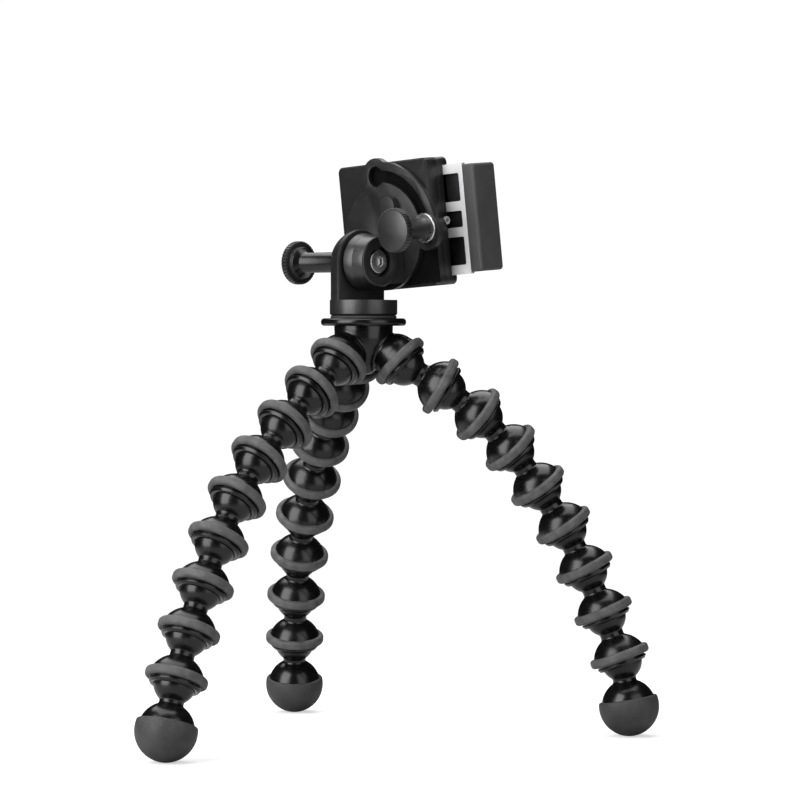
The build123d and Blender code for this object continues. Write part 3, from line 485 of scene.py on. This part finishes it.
materials = {name: makeFinish(name, values) for name, values in finishes.items()}
materials.update({name: makeMetal(name, values) for name, values in metals.items()})
slotFinish = {
    "black_gloss": "blackGloss", "grip_rubber": "padRubber", "head_plastic": "headPlastic",
    "jaw_plastic": "jawPlastic", "silver_plastic": "silverPlastic", "bright_steel": "brightSteel",
    "plain_steel": "plainSteel",
}
for entry in frame["record"]["subparts"]:
    node = frame["nodes"][entry["node"]]
    node.data.materials.clear()
    node.data.materials.append(materials[slotFinish[entry["material_slot"]]])
print("materials made:", len(materials))

# leg links: radii, heights over the joint's centre and edge sizes, in millimetres
linkSizes = {
    "ball": 8.5, "pitch": 19.55, "neck": 4.85, "neckFillet": 1.1, "dome": 11.3, "lip": 10.4, "lipDepth": 1.9,
    "lipSlope": 0.9, "lipRound": 0.25, "lipDrop": 0.3, "lipFoot": 0.12, "lipInset": 0.1, "mouthRound": 0.28,
    "mouthInset": 0.3, "groove": 9.9, "grooveDepth": 0.55, "grooveStep": 0.02, "seat": 10.4, "seatStep": 0.05,
    "gap": 0.08, "ringRise": 2.2, "ringWidth": 3.8, "ring": 12.5, "ringEdge": 1.35, "ringBore": 10.44,
    "ringBoreEdge": 0.2, "ringBoreStep": 0.15,
}
ringLow = linkSizes["ringRise"] - linkSizes["ringWidth"] / 2
ringHigh = linkSizes["ringRise"] + linkSizes["ringWidth"] / 2


def radial(radius, level):
    return math.sqrt(max(radius * radius - level * level, 0))


def socketProfile(values):
    # from the dome's foot down over the ring's seat and the lip, and up the inside of the socket
    socket = values["ball"] + values["gap"]
    depth = values["lipDepth"]
    mouth = radial(socket, depth)
    lip = values["lip"]
    slope = values["lipSlope"]
    lipRound = values["lipRound"]
    mouthRound = values["mouthRound"]
    mouthInset = values["mouthInset"]
    seat = values["seat"]
    groove = values["groove"]
    lipTop = ringLow - values["grooveDepth"]
    points = [(radial(values["dome"], ringHigh), ringHigh), (seat, ringHigh - values["seatStep"])]
    points += [(seat, ringLow), (groove, ringLow - values["grooveStep"]), (groove, lipTop)]
    points += arc(lip - lipRound, lipTop - values["lipDrop"], lipRound, 90, 0, 4)
    points += [(lip, slope - depth + values["lipFoot"])]
    points += arc(lip - slope + values["lipInset"], lipRound - depth, lipRound, -45, -90, 3)
    points += arc(mouth + mouthInset, mouthRound - depth, mouthRound, -90, -180, 4)
    inside = math.degrees(math.asin(-(depth - mouthInset) / socket))
    points += arc(0, 0, socket, inside, pole, 26)
    return points


def ballAndNeck(values, pitch, dome):
    # from the ball's pole over the neck to the dome's foot
    neck = values["neck"]
    ball = values["ball"]
    fillet = values["neckFillet"]
    reach = math.acos((neck + fillet) / (ball + fillet))
    joinUp = pitch - (ball + fillet) * math.sin(reach)
    points = arc(0, pitch, ball, pole, -math.degrees(reach), 34)
    points += arc(neck + fillet, joinUp, fillet, 180 - math.degrees(reach), 180, 6)[1:]
    reachLow = math.acos((neck + fillet) / (dome + fillet))
    joinLow = (dome + fillet) * math.sin(reachLow)
    points += arc(neck + fillet, joinLow, fillet, 180, 180 + math.degrees(reachLow), 6)
    return points, math.degrees(reachLow)


def makeLinkShell():
    values = linkSizes
    points, start = ballAndNeck(values, values["pitch"], values["dome"])
    foot = math.degrees(math.asin(ringHigh / values["dome"]))
    points += arc(0, 0, values["dome"], start, foot, 16)[1:-1]
    points += socketProfile(values)
    shell = turned("linkShell", points)
    tidyMesh(shell)
    return shell


def makeGripRing():
    values = linkSizes
    inner = values["ringBore"]
    outer = values["ring"]
    edge = values["ringEdge"]
    innerEdge = values["ringBoreEdge"]
    step = values["ringBoreStep"]
    points = [(inner, ringLow + step), (inner, ringHigh - step)]
    points += arc(inner + innerEdge, ringHigh - innerEdge, innerEdge, 135, 90, 3)
    points += arc(outer - edge, ringHigh - edge, edge, 90, 0, 10)
    points += arc(outer - edge, ringLow + edge, edge, 0, -90, 10)
    points += arc(inner + innerEdge, ringLow + innerEdge, innerEdge, -90, -135, 3)
    ring = turned("gripRing", points, ring=True)
    tidyMesh(ring)
    return ring


def legPoints(side):
    centers = [Vector(joints[f"{side}_link_{place + 1}_bend"]["pos_m"]) for place in range(linkCount)]
    return centers + [Vector(joints[f"{side}_foot_bend"]["pos_m"])]


def upAxisFrame(origin, towards):
    z = (towards - origin).normalized()
    x = z.cross(Vector((0, 0, 1))).normalized()
    return frameAt(origin, x, z)


linkShell = makeLinkShell()
gripRing = makeGripRing()
for side in sides:
    centers = legPoints(side)
    for place in range(linkCount):
        name = f"{side}_link_{place + 1}"
        where = upAxisFrame(centers[place + 1], centers[place])
        shell = copyOf(linkShell, f"{name}_shell", where)
        finished(shell, name, materials["blackGloss"], [name])
        ring = copyOf(gripRing, f"{name}_ring", where)
        finished(ring, name, materials["ringRubber"], [name])
print("links made")

# feet
footSizes = {
    "reach": 18.8, "pad": 12.4, "dome": 11.2, "skirt": 0.5, "hollow": 1.5, "rim": 3.1, "rimEdge": 0.9,
    "padSeat": 10.75, "plug": 1.4, "plugGap": 0.1, "lip": 0.28, "lipGap": 0.02, "lipStep": 0.25,
}


def makeFootShell():
    points, start = ballAndNeck(linkSizes, footSizes["reach"], footSizes["dome"])
    foot = math.degrees(math.asin((footSizes["rim"] - footSizes["skirt"]) / footSizes["dome"]))
    points += arc(0, 0, footSizes["dome"], start, foot, 16)[1:]
    roof = footSizes["rim"] - footSizes["hollow"]
    points += [(footSizes["padSeat"] - footSizes["hollow"], roof), (poleRadius, roof)]
    shell = turned("footShell", points)
    tidyMesh(shell)
    return shell


def makeFootPad():
    pad = footSizes["pad"]
    rim = footSizes["rim"]
    edge = footSizes["rimEdge"]
    seat = footSizes["padSeat"]
    outer = radial(pad - edge, rim - edge)
    angle = math.degrees(math.atan2(rim - edge, outer))
    plug = footSizes["plug"]
    lip = footSizes["lip"]
    wall = seat + footSizes["lipGap"]
    points = [(poleRadius, rim - plug), (seat - footSizes["plugGap"], rim - plug)]
    points += [(wall, rim - footSizes["lipStep"])] + arc(wall + lip, rim - lip, lip, 180, 90, 3)
    points += arc(outer, rim - edge, edge, 90, angle, 8)
    points += arc(0, 0, pad, angle, -pole, 44)[1:]
    footPad = turned("footPad", points)
    tidyMesh(footPad)
    return footPad


footShell = makeFootShell()
footPad = makeFootPad()
for side in sides:
    ball = legPoints(side)[-1]
    low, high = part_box(f"{side}_foot_pad")
    radius = footSizes["pad"] * mm
    center = Vector((0, 0, low.z + radius))
    for axis in (0, 1):  # the side that faces away from the hub is whole
        away = high[axis] - radius, low[axis] + radius
        center[axis] = away[0] if abs(away[0] - ball[axis]) < abs(away[1] - ball[axis]) else away[1]
    where = upAxisFrame(center, ball)
    body = f"{side}_foot"
    shell = copyOf(footShell, f"{side}_foot_dome", where)
    finished(shell, body, materials["blackGloss"], [f"{side}_foot_shell"])
    pad = copyOf(footPad, f"{side}_foot_ball", where)
    finished(pad, body, materials["footRubber"], [f"{side}_foot_pad"])
drop(footShell, footPad)
print("feet made")

# head and clamp: solids of the frame with their edges rounded off, widths in millimetres
bodyOf = {node: body for body, nodes in frame["record"]["behaviour"]["bodies"].items() for node in nodes}
slotOf = {entry["node"]: entry["material_slot"] for entry in frame["record"]["subparts"]}
edgeWidths = {
    "hub_plate": 0.25, "head_pad": 0.2, "head_base": 0.5, "tilt_arm": 0.6, "tilt_bolt": 0.45,
    "tilt_washer": 0.12, "clamp_back_shell": 0.45, "clamp_front_shell": 0.45, "clamp_front_pad": 0.2,
    "fixed_jaw": 0.4, "moving_jaw": 0.4, "fixed_jaw_pad": 0.12, "moving_jaw_pad": 0.12, "jaw_frame": 0.35,
    "jaw_backing": 0.15, "guide_tube": 0.2, "lock_washer": 0.25,
}
ownFinish = {"clamp_back_shell": "clampPlastic", "jaw_backing": "clampPlastic", "lock_washer": "plainSteel",
             "tilt_bolt": "plainSteel"}
rounding = {"merge": 0.001, "flatWithin": 0.6, "sharpFrom": 30, "segments": 3, "smoothAngle": 35}


def roundedCopy(node, width):
    # a merged copy of a node's mesh with flat faces joined and edges rounded, width in millimetres
    values = rounding
    piece = meshCopy(node, f"{node}_rounded")
    editAll(piece)
    bpy.ops.mesh.remove_doubles(threshold=values["merge"] * mm)
    bpy.ops.mesh.dissolve_limited(angle_limit=math.radians(values["flatWithin"]))
    bpy.ops.mesh.normals_make_consistent(inside=False)
    bpy.ops.object.mode_set(mode="OBJECT")
    applied(piece, "roundEdges", "BEVEL", width=width * mm, segments=values["segments"],
            limit_method="ANGLE", angle_limit=math.radians(values["sharpFrom"]), use_clamp_overlap=True)
    bpy.ops.object.shade_smooth_by_angle(angle=math.radians(values["smoothAngle"]))
    return piece


rounded = {}
for node, width in edgeWidths.items():
    finish = ownFinish.get(node, slotFinish[slotOf[node]])
    rounded[node] = roundedCopy(node, width)
    finished(rounded[node], bodyOf[node], materials[finish], [node])


def glossOn(piece, finish, chosen):
    # the faces that chosen() picks get a second finish
    piece.data.materials.append(materials[finish])
    for polygon in piece.data.polygons:
        if chosen(polygon):
            polygon.material_index = 1


sideFacing = 0.6  # cosine from which a face counts as one of the shell's ends
glossOn(rounded["clamp_back_shell"], "headPlastic",
        lambda polygon: abs(polygon.normal.dot(clampX)) > sideFacing)
print("rounded pieces made:", len(rounded))

# crowned sleeve that gives the arm's barrel its swollen side; what is nearer the axis than core is barrel
barrelSizes = {
    "rim": 11.65, "length": 9.7, "startTilt": 3, "endTilt": 29, "steps": 14, "edge": 0.8, "foot": 0.05,
    "footWidth": 1.2, "footEdge": 0.3, "bore": 6.6, "mouth": 0.8, "wall": 3.4, "innerFoot": 1.0, "core": 11.6,
}


def makeBarrelSleeve():
    values = barrelSizes
    rim = values["rim"]
    length = values["length"]
    edge = values["edge"]
    low, high = math.radians(values["startTilt"]), math.radians(values["endTilt"])
    curve = length / (math.sin(high) - math.sin(low))
    points = [(rim - values["footWidth"], values["foot"]), (rim - values["footEdge"], values["foot"])]
    for step in range(values["steps"] + 1):
        angle = low + (high - low) * step / values["steps"]
        height = curve * (math.sin(angle) - math.sin(low))
        radius = rim - curve * (math.cos(low) - math.cos(angle))
        points.append((radius, values["footEdge"] + height * (length - edge) / length))
    lastRadius, lastHeight = points[-1]
    face = lastHeight + edge * (1 - math.sin(high))
    points += arc(lastRadius - edge * math.cos(high), face - edge, edge, values["endTilt"], 90, 6)[1:]
    bore = values["bore"]
    mouth = values["mouth"]
    inner = rim - values["wall"]
    points += [(bore, face), (bore, face - mouth), (inner, face - 2 * mouth), (inner, values["innerFoot"])]
    sleeve = turned("tilt_barrel_sleeve", points, ring=True)
    tidyMesh(sleeve)
    return sleeve


armReach = [vertex.co - tiltPoint for vertex in frame["nodes"]["tilt_arm"].data.vertices]
alongBarrel = [reach.dot(armX) for reach in armReach
               if (reach - armX * reach.dot(armX)).length < barrelSizes["core"] * mm]
sleeveFoot = tiltPoint + armX * min(alongBarrel)
sleeve = placed(makeBarrelSleeve(), frameAt(sleeveFoot, (0, 0, 1), armX))
finished(sleeve, bodyOf["tilt_arm"], materials["headPlastic"])
print("barrel sleeve made")

# the jaw springs, which close up between the shell's posts and the ladder as the jaw comes out, are a smoothed
# copy of the frame's mesh in its rest shape
springs = meshCopy("jaw_springs", "jaw_springs_coiled")
tidyMesh(springs)
springs.data.materials.clear()
springs.data.materials.append(materials["plainSteel"])
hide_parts("jaw_springs")
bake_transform(springs)
print("springs made")

# painted shade: a thin dark sheet on the clamp's back stands in for the shade seen through the arm's slot and
# beside it
# track and corner: inner and outer radius in millimetres, first and last angle in degrees
shadeSheetSizes = {
    "track": (22.0, 28.7, -96, 108), "corner": (28.76, 42.0, -96, -8), "thickness": 0.2, "margin": 1.3,
    "steps": 180, "holeSides": 8,
}


def makeShadeSheet(sector):
    # one sector of the dark sheet that paints shade on the clamp's back
    values = shadeSheetSizes
    inner, outer, start, stop = values[sector]
    thick = values["thickness"]
    shadeSheet = turned(f"felt_{sector}", [(inner, 0), (inner, thick), (outer, thick), (outer, 0)],
                  steps=values["steps"], ring=True)
    pickOnly(shadeSheet)
    bpy.ops.object.mode_set(mode="EDIT")
    bpy.ops.mesh.select_mode(type="FACE")
    bpy.ops.mesh.select_all(action="DESELECT")
    bpy.ops.object.mode_set(mode="OBJECT")
    for polygon in shadeSheet.data.polygons:
        angle = math.degrees(math.atan2(polygon.center.y, polygon.center.x))
        polygon.select = not start <= angle <= stop
    bpy.ops.object.mode_set(mode="EDIT")
    bpy.ops.mesh.delete(type="FACE")
    bpy.ops.mesh.select_all(action="SELECT")
    bpy.ops.mesh.fill_holes(sides=values["holeSides"])
    bpy.ops.object.mode_set(mode="OBJECT")
    pivot = Vector(turn["pos_m"])
    mirror = Matrix.Diagonal((1, -1, 1, 1))
    placed(shadeSheet, frameAt(pivot - awayAxis * thick * mm, armX, awayAxis) @ mirror)
    # it ends a margin inside the panel's edges
    toPanel = pivotFrame.inverted()
    panel = [toPanel @ vertex.co for vertex in frame["nodes"]["clamp_back_shell"].data.vertices]
    up = pivotFrame.to_3x3().col[2]
    margin = values["margin"] * mm
    cuts = [(max(point.x for point in panel) - margin, clampX),
            (max(point.z for point in panel) - margin, up),
            (-(min(point.z for point in panel) + margin), -up)]
    for reach, outwards in cuts:
        bisected(shadeSheet, pivot + outwards * reach, outwards)
    tidyMesh(shadeSheet)
    return shadeSheet


# the two sectors of painted shade become one sheet on the clamp's back
shadeSheet = joined([makeShadeSheet("track"), makeShadeSheet("corner")], "painted_shade_sheet")
finished(shadeSheet, bodyOf["clamp_back_shell"], materials["paintedShade"])
print("felt made")

# hub: three socket domes run up into one neck under the plate, lengths in millimetres
# belowTop and aboveBalls: how far inside the neck's radius, and how far below the top or above the balls
hubSizes = {
    "ballHeight": 152.697, "top": 168.6, "overTop": 1, "neck": 12.0, "dome": 11.25, "reach": 4.5,
    "shoulder": 9.7, "dip": 45, "belowTop": ((0, 1.3), (0.1, 2.6), (0.3, 5)),
    "aboveBalls": ((0.8, 8), (2.2, 4), (5, 0)), "tip": 3.4, "tipDrop": 3.6, "bottom": 4.4, "steps": 72,
    "capEnd": 8, "sideStart": 6, "sideEnd": -60, "cupEnd": 30, "voxel": 0.42, "softening": 0.5, "smooth": 8,
    "socketWall": 9.9, "hollowGap": 0.15, "hollowSteps": 64, "smoothAngle": 40,
}


def hubPlace(side):
    # frame in a socket's ball centre, Z along the socket towards the hub's axis
    center = legPoints(side)[0]
    out = Vector((center.x - hubAxis.x, center.y - hubAxis.y, 0)).normalized()
    dip = math.radians(hubSizes["dip"])
    return upAxisFrame(center, center + Vector((0, 0, math.sin(dip))) - out * math.cos(dip))


def makeHub():
    values = hubSizes
    ball = values["ballHeight"]
    top = values["top"]
    neck = values["neck"]
    cap = arc(0, values["reach"], values["shoulder"], pole, values["capEnd"], 14)
    side = arc(0, 0, values["dome"], values["sideStart"], values["sideEnd"], 14)
    dome = turned("hubDome", cap + side, steps=values["steps"])
    points = [(poleRadius, top + values["overTop"]), (neck, top + values["overTop"])]
    points += [(neck - inset, top - drop) for inset, drop in values["belowTop"]]
    points += [(neck - inset, ball + rise) for inset, rise in values["aboveBalls"]]
    points += [(values["tip"], ball - values["tipDrop"]), (poleRadius, ball - values["bottom"])]
    core = turned("hubCore", points, steps=values["steps"])
    cupBack = arc(0, 0, values["socketWall"], pole, values["cupEnd"], 12)
    cup = turned("hubCup", cupBack + socketProfile(linkSizes))
    tidyMesh(cup)
    placed(core, Matrix.Translation((hubAxis.x, hubAxis.y, 0)))
    places = [hubPlace(leg) for leg in sides]
    domes = [copyOf(dome, f"hubDome{count}", place) for count, place in enumerate(places)]
    cups = [copyOf(cup, f"hubCup{count}", place) for count, place in enumerate(places)]
    # core and domes melt into one casting, cut off at the top and at the sockets' mouths
    casting = joined([core] + domes, "hub_casting")
    applied(casting, "melt", "REMESH", mode="VOXEL", voxel_size=values["voxel"] * mm)
    applied(casting, "soften", "SMOOTH", factor=values["softening"], iterations=values["smooth"])
    bisected(casting, (0, 0, top * mm), (0, 0, 1))
    for place in places:
        back = place.to_3x3().col[2]
        bisected(casting, place.translation + back * (ringHigh * mm), -back)
    hollowRadius = (values["socketWall"] - values["hollowGap"]) * mm
    steps = values["hollowSteps"]
    for place in places:
        clearSelection()
        bpy.ops.mesh.primitive_uv_sphere_add(segments=steps, ring_count=steps // 2, radius=hollowRadius,
                                             location=place.translation)
        hollow = startPiece("socketHollow")
        applied(casting, "hollow", "BOOLEAN", operation="DIFFERENCE", object=hollow, solver="EXACT")
        drop(hollow)
    tidyMesh(casting, smoothAngle=values["smoothAngle"])
    casting = joined([casting] + cups, "hub_casting")
    drop(dome, cup)
    return casting


finished(makeHub(), bodyOf["hub_body"], materials["blackGloss"], ["hub_body"])

# rubber rings round the hub's sockets
hubRings = [copyOf(gripRing, f"hub_ring_{side}", hubPlace(side)) for side in sides]
hubRing = joined(hubRings, "hub_rubber_rings")
finished(hubRing, "stand", materials["ringRubber"], ["hub_rings"])
print("hub made")

# knobs: stem, cone, collar and a knurled disc with a domed face
knobSizes = {
    "radius": 9.0, "disc": 4.2, "dome": 1.4, "collar": 6.5, "collarHeight": 1.8, "collarEdge": 0.4,
    "cone": 1.5, "coneFoot": 0.25, "stem": 4.2, "stemEdge": 0.3, "bore": 2.6, "boreDepth": 0.8, "edge": 0.35,
    "band": 0.6, "bandSink": 0.1, "bandStep": 0.05, "knurls": 40, "knurlSteps": 6, "knurlDepth": 0.42,
    "knurlSmooth": 24,
}


def makeKnob(name, stemLength):
    values = knobSizes
    collarStart = stemLength + values["cone"]
    discStart = collarStart + values["collarHeight"]
    face = discStart + values["disc"]
    domeStart = face - values["dome"]
    inner = values["radius"] - values["band"]
    edge = values["edge"]
    domeRise = values["dome"] - edge / 2
    sphere = (inner * inner + domeRise * domeRise) / (2 * domeRise)
    reach = math.degrees(math.asin(inner / sphere))
    points = arc(0, face - sphere, sphere, pole, 90 - reach, 14)
    points += [(inner, domeStart), (inner, discStart + edge)]
    points += arc(inner - edge, discStart + edge, edge, -20, -90, 4)
    collar = values["collar"]
    collarEdge = values["collarEdge"]
    points += [(collar + edge, discStart)] + arc(collar + edge, discStart - edge, edge, 100, 180, 3)
    points += arc(collar - collarEdge, collarStart + collarEdge, collarEdge, 0, -50, 4)
    stem = values["stem"]
    stemEdge = values["stemEdge"]
    points += [(stem + stemEdge, stemLength + values["coneFoot"]), (stem, stemLength - stemEdge)]
    points += arc(stem - stemEdge, stemEdge, stemEdge, 0, -90, 4)
    boreDepth = values["boreDepth"]
    points += [(values["bore"], 0.0), (values["bore"], boreDepth), (poleRadius, boreDepth)]
    body = turned(f"{name}_body", points)
    tidyMesh(body)
    # the knurled band round the disc
    bandStep = values["bandStep"]
    low = discStart
    high = domeStart + bandStep
    outer = values["radius"]
    sunk = inner - values["bandSink"]
    steps = values["knurls"] * values["knurlSteps"]
    band = [(sunk, low + bandStep), (sunk, high - bandStep), (outer - edge, high), (outer, high - edge)]
    band += [(outer, low + edge), (outer - edge, low)]
    ring = turned(f"{name}_band", band, steps=steps, ring=True)
    for vertex in ring.data.vertices:
        around = math.hypot(vertex.co.x, vertex.co.y)
        turnStep = round(math.atan2(vertex.co.y, vertex.co.x) / math.tau * steps) % values["knurlSteps"]
        if around > (outer - edge - bandStep) * mm and turnStep == 0:
            share = 1 - values["knurlDepth"] * mm / around
            vertex.co.x *= share
            vertex.co.y *= share
    tidyMesh(ring, smoothAngle=values["knurlSmooth"])
    return joined([body, ring], name)


def alongAxis(node, origin, axis):
    # frame on an axis at the node's lowest point along it
    unit = Vector(axis).normalized()
    lowest = min(vertex.co.dot(unit) for vertex in frame["nodes"][node].data.vertices)
    foot = Vector(origin) + unit * (lowest - Vector(origin).dot(unit))
    side = unit.cross(Vector((0, 0, 1)))
    return frameAt(foot, side, unit)


knobs = {
    "tilt_knob": {"axis": -armX, "stem": 21.4, "stemFinish": "blackGloss"},
    "lock_knob": {"axis": -awayAxis, "stem": 11.4, "stemFinish": "knobPlastic"},
}
for node, values in knobs.items():
    axis = values["axis"]
    where = alongAxis(node, joints[f"{node}_turn"]["pos_m"], axis)
    knob = placed(makeKnob(f"{node}_turned", values["stem"]), where)
    finished(knob, node, materials["knobPlastic"], [node])
    stemEnd = (values["stem"] + knobSizes["cone"] + knobSizes["collarEdge"]) * mm
    glossOn(knob, values["stemFinish"],
            lambda polygon: (polygon.center - where.translation).dot(axis) < stemEnd)
print("knobs made")

# camera, where the photograph was taken from: focal in pixels, places in millimetres, pitch in degrees
cameraPlace = {
    "pixels": 800, "sensor": 36, "focal": 3839, "right": 14.88, "back": 1567.3, "height": 170.2,
    "pitch": 1.165, "near": 0.05, "far": 60,
}
cameraData = bpy.data.cameras.new("camera")
cameraData.sensor_width = cameraPlace["sensor"]
cameraData.lens = cameraData.sensor_width * cameraPlace["focal"] / cameraPlace["pixels"]
cameraData.clip_start = cameraPlace["near"]
cameraData.clip_end = cameraPlace["far"]
camera = bpy.data.objects.new("camera", cameraData)
bpy.context.scene.collection.objects.link(camera)
quarter = math.sqrt(0.5)
rightAxis = Vector((quarter, quarter, 0))
lookAxis = Vector((-quarter, quarter, 0))
camera.location = (
    Vector((hubAxis.x, hubAxis.y, cameraPlace["height"] * mm))
    + rightAxis * cameraPlace["right"] * mm
    - lookAxis * cameraPlace["back"] * mm
)
camera.rotation_euler = (math.radians(90 - cameraPlace["pitch"]), 0, math.radians(45))
bpy.context.scene.camera = camera

# pale floor that fades into the white studio away from the object, fade from and to in metres
floorLook = {
    "side": 24, "dark": (0.54, 0.54, 0.54), "light": (0.57, 0.57, 0.57), "tones": (0.0, 1.0),
    "toneScale": 3.0, "fade": (0.3, 0.75), "rough": 0.7, "glow": 0.55, "shine": 0.15,
}
bpy.context.scene.view_settings.view_transform = "Standard"
clearSelection()
bpy.ops.mesh.primitive_plane_add(size=floorLook["side"], location=(0, 0, 0))
floor = startPiece("floor")
floorMaterial, floorTree, floorShader, floorPlace = startMaterial("floorPaper")
floorNoise = addNoise(floorTree, floorPlace, floorLook["toneScale"])
floorTone = addRamp(floorTree, floorNoise, floorLook["tones"], floorLook["dark"], floorLook["light"])
floorTree.links.new(floorTone, floorShader.inputs["Base Color"])
floorReach = addNode(floorTree, "ShaderNodeVectorMath", operation="LENGTH")
floorTree.links.new(floorPlace, floorReach.inputs[0])
floorFade = addRange(floorTree, floorReach.outputs["Value"], *floorLook["fade"], 1.0, 0.0)
floorTree.links.new(floorFade, floorShader.inputs["Alpha"])
floorShader.inputs["Roughness"].default_value = floorLook["rough"]
floorSeen = addNode(floorTree, "ShaderNodeLightPath").outputs["Is Camera Ray"]
floorTree.links.new(floorSeen, floorShader.inputs["Emission Color"])
floorShader.inputs["Emission Strength"].default_value = floorLook["glow"]
floorShader.inputs["Specular IOR Level"].default_value = floorLook["shine"]
floor.data.materials.append(floorMaterial)

# white backdrop for the camera that hardly lights the object
studioLook = {"onObject": 0.02, "forCamera": 1.05}
world = bpy.data.worlds.new("studio")
bpy.context.scene.world = world
world.use_nodes = True
worldTree = world.node_tree
backing = worldTree.nodes["Background"]
seen = addNode(worldTree, "ShaderNodeLightPath").outputs["Is Camera Ray"]
backing.inputs["Color"].default_value = (1, 1, 1, 1)
strength = addRange(worldTree, seen, 0.0, 1.0, studioLook["onObject"], studioLook["forCamera"])
worldTree.links.new(strength, backing.inputs["Strength"])

# each light: place seen from the camera's side (right, towards the camera, up), size, power
lights = {
    "keyBox": {"at": (-0.77, 0.62, 0.5), "size": (0.82, 1.15), "power": 20},
    "fillBox": {"at": (0.67, 0.74, 0.42), "size": (0.85, 1.2), "power": 6.5},
    "topBox": {"at": (-0.1, -0.4, 1.6), "size": (1.7, 2.0), "power": 38},
}
targetHeight = 0.12
target = Vector((hubAxis.x, hubAxis.y, targetHeight))
for name, values in lights.items():
    data = bpy.data.lights.new(name, "AREA")
    data.shape = "RECTANGLE"
    data.size, data.size_y = values["size"]
    data.energy = values["power"]
    light = bpy.data.objects.new(name, data)
    bpy.context.scene.collection.objects.link(light)
    right, near, up = values["at"]
    light.location = target + rightAxis * right - lookAxis * near + Vector((0, 0, up - targetHeight))
    light.rotation_euler = (target - light.location).to_track_quat("-Z", "Y").to_euler()
print("camera, floor and lights set")

drop(linkShell, gripRing)
